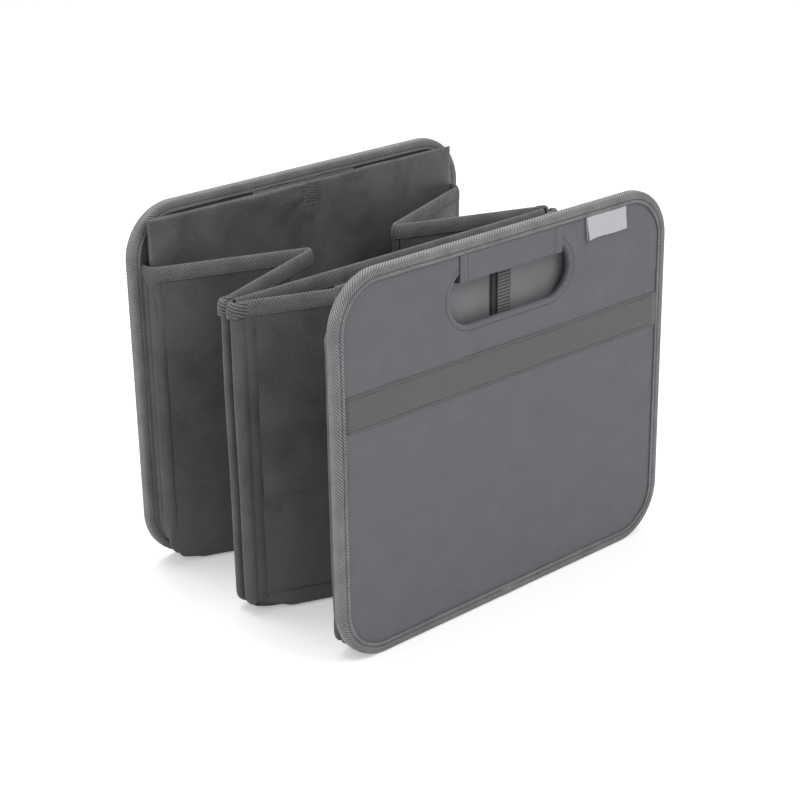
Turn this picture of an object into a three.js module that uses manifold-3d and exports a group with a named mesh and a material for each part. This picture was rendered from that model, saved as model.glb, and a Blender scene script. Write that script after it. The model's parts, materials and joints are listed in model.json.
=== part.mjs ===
// Folding storage box of stiffened fabric, standing partly folded.
// Millimetres, +Z up, X across the panels, Y the way the box folds, front panel at -Y.
// The origin is under the middle of the box, on the plane it stands on.
import * as THREE from 'three';
import { mergeVertices } from 'three/addons/utils/BufferGeometryUtils.js';
import Module from 'manifold-3d';

const wasm = await Module();
wasm.setup();

// End panels
const panelWidth = 320;
const panelHeight = 275;
const panelCornerRadius = 40;
const panelBoardThickness = 3.4;
const panelClothThickness = 0.8;

// Binding tape round the end panels
const bindingThickness = 0.9;
const bindingLeg = 8.5;

// Handle cut-out and the fabric wrap on its upper edge
const handleHalfLength = 58;
const handleHeight = 41;
const handleTopDrop = 19;
const gripHalfWidth = 49;
const gripOverhang = 10;
const gripThickness = 0.8;
const gripSideGap = 0.4;
const gripHemWidth = 8;
const gripHemThickness = 0.3;

// Hook-and-loop strip and label tab on the front panel
const stripDrop = 81.5;
const stripHeight = 25.5;
const stripThickness = 0.9;
const labelEdgeInset = 45;
const labelWidth = 42;
const labelHeight = 17;
const labelThickness = 0.9;

// Wall leaves
const wallTopDrop = 41;
const wallBottom = 12;
const leafLength = 115;
const leafBoardThickness = 1.8;
const wallClothThickness = 0.5;
const wallTapeThickness = 0.5;
const wallTapeHeight = 11;
const leafEndSetback = 0.4;
const leafCornerRadius = 8;
const cornerSeamTop = 20;
const cornerSeamBottom = 7;
const cornerSeamWidth = 10;
const cornerArchReach = 42;
const leafBoardSetback = 3.5;
const leafBoardFoldSetback = 12;
const leafBoardLift = 2;

// Fold linkage
const hingeEdgeInset = 10;
const foldAngleDeg = 21.06;
const panelHingeDepth = 16;
const dividerHingeOffset = 5;
const foldClothOverlapDeg = 20;

// Divider and the ridge where it is sewn to the walls
const ridgeStandout = 9;
const ridgeHalfDepth = 4.7;
const ridgeGrooveWidth = 1.2;
const ridgeGrooveDepth = 4;
const ridgeBottom = 6;
const ridgeCornerRadius = 8;

// Seam strip between an end panel and its walls
const seamStripThickness = 2.2;
const seamStripFlare = 4.5;
const seamStripClearance = 0.3;

// Base boards, folded up against the end panels
const baseSideClearance = 1;
const baseBottom = 24;
const baseTopClearance = 2;
const baseBoardThickness = 2.0;
const baseDepth = 10.4;
const baseHingeHalfWidth = 120;
const baseHingeClearance = 2;

// Pull straps sewn to the base boards
const strapWidth = 17;
const strapThickness = 1.4;
const strapTopInset = 6;
const strapLength = 66;
const strapBulge = 5;
const strapBulgeInset = 2;

// Floor cloths
const floorClothThickness = 3;
const floorClothBottom = 1.5;
const floorClothSideInset = 2;
const floorClothPanelInset = 14;
const floorClothPanelClearance = 3;
const floorClothSeamOverlap = 7;

// Clearance left between two layers that are sewn or glued together
const layerGap = 0.3;
const curveSegments = 9;

// Derived sizes
const hingeHalfWidth = panelWidth / 2 - hingeEdgeInset;
const handleTop = panelHeight - handleTopDrop;
const handleBottom = handleTop - handleHeight;
const gripTop = panelHeight - bindingLeg - layerGap;
const gripBottom = handleTop - gripOverhang;
const gripTongueHalfWidth = gripHalfWidth - gripSideGap;
const stripTop = panelHeight - stripDrop;
const labelRight = panelWidth / 2 - labelEdgeInset;
const wallTop = panelHeight - wallTopDrop;
const ridgeReach = hingeHalfWidth + ridgeStandout;
const baseHalfWidth = hingeHalfWidth - seamStripThickness - baseSideClearance;
const baseTop = panelHeight - bindingLeg - baseTopClearance;
const strapTop = baseTop - strapTopInset;
const strapBottom = strapTop - strapLength;
const foldAngle = THREE.MathUtils.degToRad(foldAngleDeg);
const panelThickness =
  panelBoardThickness + 2 * (panelClothThickness + bindingThickness + 2 * layerGap);
const wallThickness =
  leafBoardThickness + 2 * (wallClothThickness + wallTapeThickness + 2 * layerGap);
const foldHalfSpan = leafLength * Math.sin(foldAngle) + wallThickness * Math.cos(foldAngle);
const hingeSpan = 2 * foldHalfSpan;
const halfDepth = panelHingeDepth + hingeSpan + dividerHingeOffset;
const tapeReach = wallTapeThickness + layerGap;
const clothReach = tapeReach + wallClothThickness;
const boardReach = clothReach + layerGap;
const baseClothThickness = wallClothThickness;

const part = new THREE.Group();
part.name = 'folding_storage_box';

const looks = {
  melange: new THREE.MeshStandardMaterial({ name: 'melange', color: '#69696d', roughness: 0.95 }),
  lining: new THREE.MeshStandardMaterial({ name: 'lining', color: '#4a494c', roughness: 0.7 }),
  tape: new THREE.MeshStandardMaterial({ name: 'tape', color: '#767476', roughness: 0.9 }),
  board: new THREE.MeshStandardMaterial({ name: 'board', color: '#8a8178', roughness: 0.95 }),
  loop: new THREE.MeshStandardMaterial({ name: 'loop', color: '#636260', roughness: 1 }),
  satin: new THREE.MeshStandardMaterial({ name: 'satin', color: '#c4c2c8', roughness: 0.6 }),
  webbing: new THREE.MeshStandardMaterial({ name: 'webbing', color: '#4c4b4d', roughness: 0.9 }),
};

// Solids

function toSolid(geometry) {
  const bare = geometry.clone();
  bare.deleteAttribute('normal');
  bare.deleteAttribute('uv');
  const merged = mergeVertices(bare, 1e-5);
  return new wasm.Manifold(
    new wasm.Mesh({
      numProp: 3,
      vertProperties: new Float32Array(merged.attributes.position.array),
      triVerts: new Uint32Array(merged.index.array),
    }),
  );
}

function toGeometry(solid) {
  const mesh = solid.getMesh();
  const geometry = new THREE.BufferGeometry();
  geometry.setAttribute('position', new THREE.BufferAttribute(mesh.vertProperties, 3));
  geometry.setIndex(new THREE.BufferAttribute(mesh.triVerts, 1));
  return geometry;
}

function moved(geometry, matrix) {
  const copy = geometry.clone().applyMatrix4(matrix);
  if (matrix.determinant() < 0) {
    const index = copy.index;
    for (let i = 0; i < index.count; i += 3) {
      const first = index.getX(i);
      index.setX(i, index.getX(i + 1));
      index.setX(i + 1, first);
    }
  }
  return copy;
}

function addMesh(name, solid, look, matrix) {
  let geometry = toGeometry(solid);
  if (matrix) {
    geometry = moved(geometry, matrix);
  }
  geometry.computeVertexNormals();
  const mesh = new THREE.Mesh(geometry, looks[look]);
  mesh.name = name;
  part.add(mesh);
  return mesh;
}

// A shape drawn in (first, second), thickened along the third axis from low to high.
function prism(shape, low, high) {
  const geometry = new THREE.ExtrudeGeometry(shape, {
    depth: high - low,
    bevelEnabled: false,
    curveSegments,
    steps: 1,
  });
  geometry.translate(0, 0, low);
  return toSolid(geometry);
}

function polygon(points) {
  return new THREE.Shape(points.map(([a, b]) => new THREE.Vector2(a, b)));
}

function rectangle(left, right, bottom, top) {
  return polygon([
    [left, bottom],
    [right, bottom],
    [right, top],
    [left, top],
  ]);
}

// End panels

// The panel's outline, taken in by inset all round, in (x, z).
function panelOutline(inset) {
  const half = panelWidth / 2 - inset;
  const low = inset;
  const high = panelHeight - inset;
  const r = panelCornerRadius - inset;
  const shape = new THREE.Shape();
  shape.moveTo(-half + r, low);
  shape.lineTo(half - r, low);
  shape.absarc(half - r, low + r, r, -Math.PI / 2, 0, false);
  shape.lineTo(half, high - r);
  shape.absarc(half - r, high - r, r, 0, Math.PI / 2, false);
  shape.lineTo(-half + r, high);
  shape.absarc(-half + r, high - r, r, Math.PI / 2, Math.PI, false);
  shape.lineTo(-half, low + r);
  shape.absarc(-half + r, low + r, r, Math.PI, 1.5 * Math.PI, false);
  return shape;
}

// The handle cut-out: round ends, and a straight tongue left standing under the grip.
function handleHole() {
  const r = (handleTop - handleBottom) / 2;
  const middle = handleBottom + r;
  const centre = handleHalfLength - r;
  const turn = Math.acos((gripTongueHalfWidth - centre) / r);
  const tongueBottom = gripBottom + gripThickness + layerGap;
  const shape = new THREE.Shape();
  shape.moveTo(-centre, handleBottom);
  shape.lineTo(centre, handleBottom);
  shape.absarc(centre, middle, r, -Math.PI / 2, turn, false);
  shape.lineTo(gripTongueHalfWidth, tongueBottom);
  shape.lineTo(-gripTongueHalfWidth, tongueBottom);
  shape.absarc(-centre, middle, r, Math.PI - turn, 1.5 * Math.PI, false);
  return shape;
}

// Depths run inwards from the panel's outer face; the matrix puts them on the front or the back.
function panelMatrix(side) {
  return new THREE.Matrix4().makeBasis(
    new THREE.Vector3(1, 0, 0),
    new THREE.Vector3(0, 0, 1),
    new THREE.Vector3(0, -side, 0),
  ).setPosition(0, side * halfDepth, 0);
}

function panelLayer(from, thickness) {
  const inset = bindingThickness + layerGap;
  const plate = prism(panelOutline(inset), from, from + thickness);
  return plate.subtract(prism(handleHole(), from - 1, from + thickness + 1));
}

function panelBinding() {
  const whole = prism(panelOutline(0), 0, panelThickness);
  const window = prism(panelOutline(bindingLeg), -1, panelThickness + 1);
  const slot = prism(
    panelOutline(bindingThickness),
    bindingThickness,
    panelThickness - bindingThickness,
  );
  return whole.subtract(window).subtract(slot);
}

function gripWrap() {
  const outline = rectangle(-gripHalfWidth, gripHalfWidth, gripBottom, gripTop);
  const inside = rectangle(
    -gripHalfWidth - 1,
    gripHalfWidth + 1,
    gripBottom + gripThickness,
    gripTop + 1,
  );
  const face = bindingThickness - gripThickness;
  const wrap = prism(outline, face, panelThickness - face).subtract(
    prism(inside, face + gripThickness, panelThickness - face - gripThickness),
  );
  const hem = (left) =>
    prism(
      rectangle(left, left + gripHemWidth, gripBottom + gripThickness, gripTop),
      face - gripHemThickness,
      face + gripThickness / 2,
    );
  return wrap.add(hem(-gripHalfWidth)).add(hem(gripHalfWidth - gripHemWidth));
}

function addPanel(name, side) {
  const matrix = panelMatrix(side);
  const coverFrom = bindingThickness + layerGap;
  const boardFrom = coverFrom + panelClothThickness + layerGap;
  const liningFrom = boardFrom + panelBoardThickness + layerGap;
  addMesh(`${name}_panel_cover`, panelLayer(coverFrom, panelClothThickness), 'melange', matrix);
  addMesh(`${name}_panel_board`, panelLayer(boardFrom, panelBoardThickness), 'board', matrix);
  addMesh(`${name}_panel_lining`, panelLayer(liningFrom, panelClothThickness), 'lining', matrix);
  addMesh(`${name}_panel_binding`, panelBinding(), 'tape', matrix);
  addMesh(`${name}_grip_wrap`, gripWrap(), 'melange', matrix);
  for (const [hand, across] of [['left', -1], ['right', 1]]) {
    const from = panelThickness + seamStripClearance;
    const to = panelHingeDepth - seamStripClearance;
    const outer = hingeHalfWidth;
    const plan = polygon([
      [outer + seamStripFlare - seamStripThickness, from],
      [outer + seamStripFlare, from],
      [outer, to],
      [outer - seamStripThickness, to],
    ]);
    const stripMatrix = new THREE.Matrix4().makeBasis(
      new THREE.Vector3(across, 0, 0),
      new THREE.Vector3(0, -side, 0),
      new THREE.Vector3(0, 0, 1),
    ).setPosition(0, side * halfDepth, 0);
    const strip = prism(plan, cornerSeamTop, wallTop);
    addMesh(`${name}_${hand}_seam_strip`, strip, 'lining', stripMatrix);
  }
}

// Base boards

function strapOutline() {
  const steps = 22;
  const restDepth = baseDepth - layerGap - strapThickness;
  const bulgeTop = gripBottom - strapBulgeInset;
  const bulgeBottom = handleBottom + strapBulgeInset / 2;
  const near = [];
  const far = [];
  for (let i = 0; i <= steps; i += 1) {
    const z = strapTop + ((strapBottom - strapTop) * i) / steps;
    let push = 0;
    if (z < bulgeTop && z > bulgeBottom) {
      const share = (z - bulgeBottom) / (bulgeTop - bulgeBottom);
      push = strapBulge * Math.sin(Math.PI * share) ** 2;
    }
    near.push([restDepth - push, z]);
    far.push([restDepth - push + strapThickness, z]);
  }
  return polygon([...near.reverse(), ...far]);
}

function addBase(name, side) {
  const matrix = panelMatrix(side);
  const thickness = baseBoardThickness + 2 * (baseClothThickness + layerGap);
  const outline = rectangle(-baseHalfWidth, baseHalfWidth, baseBottom, baseTop);
  const inset = baseClothThickness;
  const pocket = rectangle(
    -baseHalfWidth + inset,
    baseHalfWidth - inset,
    baseBottom - 1,
    baseTop - inset,
  );
  const hingeBottom = bindingLeg + baseHingeClearance;
  const hingeWidth = baseHingeHalfWidth;
  const hingeDrop = prism(
    rectangle(-hingeWidth, hingeWidth, hingeBottom, baseBottom + inset),
    baseDepth,
    baseDepth + inset,
  );
  const hingeFoot = prism(
    rectangle(-hingeWidth, hingeWidth, hingeBottom, hingeBottom + inset),
    panelThickness - bindingThickness,
    baseDepth + inset,
  );
  const cover = prism(outline, baseDepth, baseDepth + thickness)
    .subtract(prism(pocket, baseDepth + inset, baseDepth + thickness - inset))
    .add(hingeDrop)
    .add(hingeFoot);
  const boardInset = inset + layerGap;
  const board = rectangle(
    -baseHalfWidth + boardInset,
    baseHalfWidth - boardInset,
    baseBottom,
    baseTop - boardInset,
  );
  addMesh(`${name}_base_cover`, cover, 'lining', matrix);
  addMesh(
    `${name}_base_board`,
    prism(board, baseDepth + boardInset, baseDepth + thickness - boardInset),
    'board',
    matrix,
  );
  const strapMatrix = new THREE.Matrix4().makeBasis(
    new THREE.Vector3(0, -side, 0),
    new THREE.Vector3(0, 0, 1),
    new THREE.Vector3(1, 0, 0),
  ).setPosition(0, side * halfDepth, 0);
  addMesh(
    `${name}_pull_strap`,
    prism(strapOutline(), -strapWidth / 2, strapWidth / 2),
    'webbing',
    strapMatrix,
  );
}

// Wall leaves

// The leaf's outline in (along, z), taken in by inset; along runs from the outer hinge to the fold.
function leafOutline(atPanel, inset, end, top, bottomDrop) {
  const start = leafEndSetback + inset;
  const shape = new THREE.Shape();
  if (atPanel) {
    const low = cornerSeamBottom + inset - bottomDrop;
    const level = wallBottom + inset - bottomDrop;
    shape.moveTo(start, cornerSeamTop + inset - bottomDrop);
    shape.quadraticCurveTo(start, low + cornerSeamWidth / 2, cornerSeamWidth, low);
    shape.quadraticCurveTo(cornerArchReach / 2, level, cornerArchReach, level);
  } else {
    const r = Math.max(leafCornerRadius - inset, 1);
    shape.moveTo(start, wallBottom + inset + r - bottomDrop);
    shape.absarc(start + r, wallBottom + inset + r - bottomDrop, r, Math.PI, 1.5 * Math.PI, false);
  }
  shape.lineTo(end, wallBottom + inset - bottomDrop);
  shape.lineTo(end, top);
  shape.lineTo(start, top);
  return shape;
}

// A cylinder round the fold's axis, in (along, z, across), that both leaves stop short of.
function foldRun() {
  const r = wallThickness + layerGap;
  const tall = wallTop + 40;
  const geometry = new THREE.CylinderGeometry(r, r, tall, 40);
  geometry.translate(leafLength, tall / 2 - 20, wallThickness);
  return toSolid(geometry);
}

function leafCloth(atPanel) {
  const top = wallTop - wallTapeThickness - layerGap;
  const outer = prism(
    leafOutline(atPanel, 0, leafLength, top, 0),
    tapeReach,
    wallThickness - tapeReach,
  );
  const inner = prism(
    leafOutline(atPanel, wallClothThickness, leafLength + 1, top - wallClothThickness, 4),
    clothReach,
    wallThickness - clothReach,
  );
  return outer.subtract(inner).subtract(foldRun());
}

function leafBoard(atPanel) {
  const inset = leafBoardSetback - leafEndSetback;
  const top = wallTop - wallTapeThickness - wallClothThickness - 2 * layerGap;
  return prism(
    leafOutline(atPanel, inset, leafLength - leafBoardFoldSetback, top, inset - leafBoardLift),
    boardReach,
    wallThickness - boardReach,
  );
}

function leafTape() {
  const bottom = wallTop - wallTapeHeight;
  const outer = prism(
    rectangle(leafEndSetback, leafLength, bottom, wallTop),
    0,
    wallThickness,
  );
  const inner = prism(
    rectangle(leafEndSetback - 1, leafLength + 1, bottom - 1, wallTop - wallTapeThickness),
    wallTapeThickness,
    wallThickness - wallTapeThickness,
  );
  return outer.subtract(inner).subtract(foldRun());
}

// The cloth that turns round the fold, with the doubled top tape, in (along, across, z).
function foldCloth() {
  const from = -THREE.MathUtils.degToRad(foldClothOverlapDeg);
  const to = Math.PI - 2 * foldAngle - from;
  const sector = (inner, outer) => {
    const steps = 14;
    const points = [];
    for (let i = 0; i <= steps; i += 1) {
      const a = from + ((to - from) * i) / steps;
      points.push([leafLength + outer * Math.sin(a), wallThickness - outer * Math.cos(a)]);
    }
    for (let i = steps; i >= 0; i -= 1) {
      const a = from + ((to - from) * i) / steps;
      points.push([leafLength + inner * Math.sin(a), wallThickness - inner * Math.cos(a)]);
    }
    return polygon(points);
  };
  const clothOuter = wallThickness - tapeReach;
  const cloth = prism(
    sector(clothOuter - wallClothThickness, clothOuter),
    wallBottom,
    wallTop - wallTapeThickness,
  );
  const tape = prism(
    sector(clothOuter - wallClothThickness - tapeReach, wallThickness),
    wallTop - wallTapeHeight,
    wallTop,
  );
  return cloth.add(tape);
}

// The hinge, the way along the leaf and the way through it, in the row frame.
function leafFrame(side, across, atPanel) {
  const turn = atPanel ? -foldAngle : foldAngle;
  const hingeY = atPanel ? halfDepth - panelHingeDepth : dividerHingeOffset;
  const flip = atPanel ? -1 : 1;
  const along = new THREE.Vector3(-across * Math.cos(turn), side * Math.sin(turn), 0);
  const through = new THREE.Vector3(
    across * flip * Math.sin(turn),
    side * flip * Math.cos(turn),
    0,
  );
  const hinge = new THREE.Vector3(across * hingeHalfWidth, side * hingeY, 0);
  return { along, through, hinge };
}

function addLeaf(name, side, across, atPanel) {
  const { along, through, hinge } = leafFrame(side, across, atPanel);
  const up = new THREE.Vector3(0, 0, 1);
  const matrix = new THREE.Matrix4().makeBasis(along, up, through).setPosition(hinge);
  addMesh(`${name}_cloth`, leafCloth(atPanel), 'lining', matrix);
  addMesh(`${name}_board`, leafBoard(atPanel), 'board', matrix);
  addMesh(`${name}_tape`, leafTape(), 'tape', matrix);
}

function addFoldCloth(name, side, across) {
  const { along, through, hinge } = leafFrame(side, across, true);
  const up = new THREE.Vector3(0, 0, 1);
  const matrix = new THREE.Matrix4().makeBasis(along, through, up).setPosition(hinge);
  addMesh(name, foldCloth(), 'lining', matrix);
}

// Divider

function addDivider() {
  const matrix = new THREE.Matrix4().makeBasis(
    new THREE.Vector3(1, 0, 0),
    new THREE.Vector3(0, 0, 1),
    new THREE.Vector3(0, -1, 0),
  );
  const half = wallThickness / 2;
  const width = hingeHalfWidth;
  const clothTop = wallTop - wallTapeThickness - layerGap;
  const cloth = prism(
    rectangle(-width, width, wallBottom, clothTop),
    tapeReach - half,
    half - tapeReach,
  ).subtract(
    prism(
      rectangle(
        -width + wallClothThickness,
        width - wallClothThickness,
        wallBottom - 1,
        clothTop - wallClothThickness,
      ),
      clothReach - half,
      half - clothReach,
    ),
  );
  const board = prism(
    rectangle(
      -width + leafBoardSetback,
      width - leafBoardSetback,
      wallBottom + leafBoardLift,
      clothTop - wallClothThickness - layerGap,
    ),
    boardReach - half,
    half - boardReach,
  );
  const tape = prism(
    rectangle(-width, width, wallTop - wallTapeHeight, wallTop),
    -half,
    half,
  ).subtract(
    prism(
      rectangle(-width - 1, width + 1, wallTop - wallTapeHeight - 1, wallTop - wallTapeThickness),
      wallTapeThickness - half,
      half - wallTapeThickness,
    ),
  );
  addMesh('divider_cloth', cloth, 'lining', matrix);
  addMesh('divider_board', board, 'board', matrix);
  addMesh('divider_tape', tape, 'tape', matrix);
}

// The outward fold: two rounded folds of cloth with the seam groove between them.
function addRidge(name, across) {
  const inner = hingeHalfWidth + layerGap;
  const groove = ridgeGrooveWidth / 2;
  const r = (ridgeHalfDepth - groove) / 2;
  const plan = new THREE.Shape();
  plan.moveTo(inner, -ridgeHalfDepth);
  plan.lineTo(ridgeReach - r, -ridgeHalfDepth);
  plan.absarc(ridgeReach - r, -ridgeHalfDepth + r, r, -Math.PI / 2, Math.PI / 2, false);
  plan.lineTo(ridgeReach - ridgeGrooveDepth, -groove);
  plan.lineTo(ridgeReach - ridgeGrooveDepth, groove);
  plan.lineTo(ridgeReach - r, groove);
  plan.absarc(ridgeReach - r, ridgeHalfDepth - r, r, -Math.PI / 2, Math.PI / 2, false);
  plan.lineTo(inner, ridgeHalfDepth);
  const column = prism(plan, ridgeBottom, wallTop);
  const side = new THREE.Shape();
  side.moveTo(inner - 1, ridgeBottom);
  side.lineTo(ridgeReach - ridgeCornerRadius, ridgeBottom);
  side.absarc(
    ridgeReach - ridgeCornerRadius,
    ridgeBottom + ridgeCornerRadius,
    ridgeCornerRadius,
    -Math.PI / 2,
    0,
    false,
  );
  side.lineTo(ridgeReach, wallTop);
  side.lineTo(inner - 1, wallTop);
  const turned = new THREE.Matrix4().makeBasis(
    new THREE.Vector3(1, 0, 0),
    new THREE.Vector3(0, 0, 1),
    new THREE.Vector3(0, -1, 0),
  );
  const mask = toSolid(moved(toGeometry(prism(side, -ridgeHalfDepth - 1, ridgeHalfDepth + 1)), turned));
  const mirror = new THREE.Matrix4().makeScale(across, 1, 1);
  addMesh(name, column.intersect(mask), 'lining', mirror);
}

// Floor cloths

// The cloth lies under the leaves it is sewn to, drawn in with them, and turns up at the divider.
function addFloorCloth(name, side) {
  const from = wallThickness / 2 - tapeReach + layerGap;
  const to = halfDepth - panelThickness - floorClothPanelClearance;
  const foldY = halfDepth - panelHingeDepth - foldHalfSpan;
  const foldX = hingeHalfWidth - leafLength * Math.cos(foldAngle) + wallThickness * Math.sin(foldAngle);
  const outer = hingeHalfWidth - floorClothSideInset;
  const atPanel = hingeHalfWidth - floorClothPanelInset;
  const across = side * from;
  const slab = prism(
    polygon([
      [-outer, across],
      [outer, across],
      [foldX, side * foldY],
      [atPanel, side * to],
      [-atPanel, side * to],
      [-foldX, side * foldY],
    ]),
    floorClothBottom,
    floorClothBottom + floorClothThickness,
  );
  const inner = side * (from + wallClothThickness);
  const flap = prism(
    rectangle(-outer, outer, Math.min(across, inner), Math.max(across, inner)),
    floorClothBottom + floorClothThickness / 2,
    wallBottom + floorClothSeamOverlap,
  );
  addMesh(name, slab.add(flap), 'lining');
}

addPanel('front', -1);
addPanel('back', 1);
addBase('front', -1);
addBase('back', 1);
addDivider();
addRidge('left_divider_ridge', -1);
addRidge('right_divider_ridge', 1);
for (const [sideName, side] of [['back', 1], ['front', -1]]) {
  for (const [handName, across] of [['left', -1], ['right', 1]]) {
    addLeaf(`${sideName}_${handName}_divider_leaf`, side, across, false);
    addLeaf(`${sideName}_${handName}_panel_leaf`, side, across, true);
    addFoldCloth(`${sideName}_${handName}_fold_cloth`, side, across);
  }
  addFloorCloth(`${sideName}_floor_cloth`, side);
}

const frontMatrix = panelMatrix(-1);
const stripHalf = panelWidth / 2 - bindingLeg - layerGap;
const stripShape = rectangle(-stripHalf, stripHalf, stripTop - stripHeight, stripTop);
addMesh('front_loop_strip', prism(stripShape, 0, stripThickness), 'loop', frontMatrix);
const labelShape = rectangle(labelRight - labelWidth, labelRight, gripTop - labelHeight, gripTop);
addMesh('front_label_tab', prism(labelShape, 0, labelThickness), 'satin', frontMatrix);

export default part;
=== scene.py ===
# %% [markdown]
# # A folding storage box, dressed around its CAD frame
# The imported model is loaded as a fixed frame. Its bodies carry the fabric pieces that are made
# below, and its boards stay inside them. Sizes are in metres, the front panel is at -Y.

# %% Load the frame
import json
import math
import bpy
import bmesh
import numpy as np
from mathutils import Matrix, Vector


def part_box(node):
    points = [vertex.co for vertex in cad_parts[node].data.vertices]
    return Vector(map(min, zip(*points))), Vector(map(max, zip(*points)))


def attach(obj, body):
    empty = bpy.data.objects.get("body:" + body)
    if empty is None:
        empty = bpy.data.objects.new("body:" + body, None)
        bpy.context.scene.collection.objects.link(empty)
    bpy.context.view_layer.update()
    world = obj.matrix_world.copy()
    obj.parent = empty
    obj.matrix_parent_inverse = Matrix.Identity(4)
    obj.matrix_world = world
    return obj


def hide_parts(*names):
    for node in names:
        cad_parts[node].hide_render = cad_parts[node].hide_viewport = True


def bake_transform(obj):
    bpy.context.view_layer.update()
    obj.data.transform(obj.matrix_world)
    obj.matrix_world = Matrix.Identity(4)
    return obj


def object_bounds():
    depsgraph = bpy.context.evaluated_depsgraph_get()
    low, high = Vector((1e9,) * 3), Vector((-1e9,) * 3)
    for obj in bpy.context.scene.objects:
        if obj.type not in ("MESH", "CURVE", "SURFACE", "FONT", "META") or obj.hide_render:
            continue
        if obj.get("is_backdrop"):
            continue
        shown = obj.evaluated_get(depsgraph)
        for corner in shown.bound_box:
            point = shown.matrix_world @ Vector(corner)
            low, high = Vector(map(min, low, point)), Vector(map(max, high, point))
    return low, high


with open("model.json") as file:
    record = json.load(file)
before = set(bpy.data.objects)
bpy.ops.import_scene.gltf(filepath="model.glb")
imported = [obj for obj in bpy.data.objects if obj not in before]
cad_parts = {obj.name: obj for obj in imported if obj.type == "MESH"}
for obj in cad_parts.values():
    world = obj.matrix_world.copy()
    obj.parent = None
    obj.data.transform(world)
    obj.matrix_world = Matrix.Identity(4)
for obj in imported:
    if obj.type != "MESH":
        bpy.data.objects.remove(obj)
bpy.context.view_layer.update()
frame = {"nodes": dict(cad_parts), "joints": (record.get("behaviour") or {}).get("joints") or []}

# %% [markdown]
# ## The camera
# The photograph was taken with a long lens from the front left, a little above the box. The
# place and lens come from matching the panel's corners, and the camera is tipped by one degree.

# %% Camera
AZIMUTH = math.radians(42.221)
ELEVATION = math.radians(22.015)
ROLL = math.radians(-0.948)
PLACE = (-0.8666, -0.9528, 0.6390)
SENSOR, PICTURE, FOCAL = 36, 800, 1876.5        # mm, pixels, pixels
ahead = Vector((math.sin(AZIMUTH) * math.cos(ELEVATION),
                math.cos(AZIMUTH) * math.cos(ELEVATION), -math.sin(ELEVATION)))
level = ahead.cross(Vector((0, 0, 1))).normalized()
above = level.cross(ahead)
right = math.cos(ROLL) * level + math.sin(ROLL) * above
up = -math.sin(ROLL) * level + math.cos(ROLL) * above
bpy.context.scene.view_settings.view_transform = "Standard"
camera_data = bpy.data.cameras.new("camera")
camera_data.sensor_width = SENSOR
camera_data.lens = FOCAL / PICTURE * SENSOR
camera = bpy.data.objects.new("camera", camera_data)
bpy.context.scene.collection.objects.link(camera)
turn = Matrix((right, up, -ahead)).transposed().to_4x4()
camera.matrix_world = Matrix.Translation(PLACE) @ turn
bpy.context.scene.camera = camera
print("lens", round(camera_data.lens, 1), "mm")

# %% [markdown]
# ## One helper for nodes, one for colours
# Every material below is built from the same helpers. Colours are written as they look on
# screen, and are turned to the linear values that the shader needs.

# %% Colour and node helpers
def srgb(code):
    parts = [int(code[i:i + 2], 16) / 255 for i in (1, 3, 5)]
    return tuple(c / 12.92 if c <= 0.04045 else ((c + 0.055) / 1.055) ** 2.4 for c in parts) + (1.0,)


def add(tree, kind, inputs=None, **settings):
    """A shader node with its settings. An input takes a value, a socket, or a node's first output."""
    made = tree.nodes.new("ShaderNode" + kind)
    for name, value in settings.items():
        setattr(made, name, value)
    for name, value in (inputs or {}).items():
        if isinstance(value, bpy.types.Node):
            value = value.outputs[0]
        if isinstance(value, bpy.types.NodeSocket):
            tree.links.new(value, made.inputs[name])
        else:
            made.inputs[name].default_value = value
    return made


def new_material(name):
    material = bpy.data.materials.new(name)
    material.use_nodes = True
    material.node_tree.nodes.clear()
    return material, material.node_tree


# %% [markdown]
# ## Floor, world and lamps
# A pale floor takes the soft shadow under the box. To the camera it glows a little, so that it
# reads as white wherever the box doesn't shade it. Three big soft lamps stand in for a studio.

# %% Floor
material, tree = new_material("painted_studio_floor")
seen = add(tree, "LightPath")
grain = add(tree, "TexNoise", {"Scale": 3.0})
tone = add(tree, "Mix", {0: grain, 6: srgb("#f0f0f0"), 7: srgb("#f7f7f7")}, data_type="RGBA")
matte = add(tree, "BsdfDiffuse", {"Color": tone.outputs[2]})
glow = add(tree, "Emission", {"Color": (1, 1, 1, 1), "Strength": 0.32})
both = add(tree, "AddShader", {0: matte, 1: glow})
shown = add(tree, "MixShader", {0: seen.outputs["Is Camera Ray"], 1: matte, 2: both})
add(tree, "OutputMaterial", {0: shown})

bpy.ops.object.select_all(action="DESELECT")
bpy.ops.mesh.primitive_plane_add(size=16, location=(0, 0, 0))
floor = bpy.context.object
floor.name = "studio_floor"
floor.data.materials.append(material)
floor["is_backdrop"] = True
print("floor", floor.dimensions[:])

# %% World and lamps
world = bpy.data.worlds.new("studio")
bpy.context.scene.world = world
world.use_nodes = True
tree = world.node_tree
tree.nodes.clear()
seen = add(tree, "LightPath")
soft = add(tree, "Background", {"Color": (1, 1, 1, 1), "Strength": 0.5})
white = add(tree, "Background", {"Color": (1, 1, 1, 1), "Strength": 1.0})
pick = add(tree, "MixShader", {0: seen.outputs["Is Camera Ray"], 1: soft, 2: white})
add(tree, "OutputWorld", {0: pick})


def lamp(name, place, size, power, aim=(0, 0, 0.12)):
    data = bpy.data.lights.new(name, "AREA")
    data.shape = "SQUARE"
    data.size = size
    data.energy = power
    made = bpy.data.objects.new(name, data)
    bpy.context.scene.collection.objects.link(made)
    made.location = place
    made.rotation_euler = (Vector(aim) - Vector(place)).to_track_quat("-Z", "Y").to_euler()
    return made


lamp("key_softbox", (0.9, -1.7, 2.3), 1.6, 36)
lamp("fill_softbox", (-2.2, -0.6, 1.6), 1.8, 15)
lamp("top_softbox", (-0.2, 0.9, 2.4), 1.4, 30)

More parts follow.
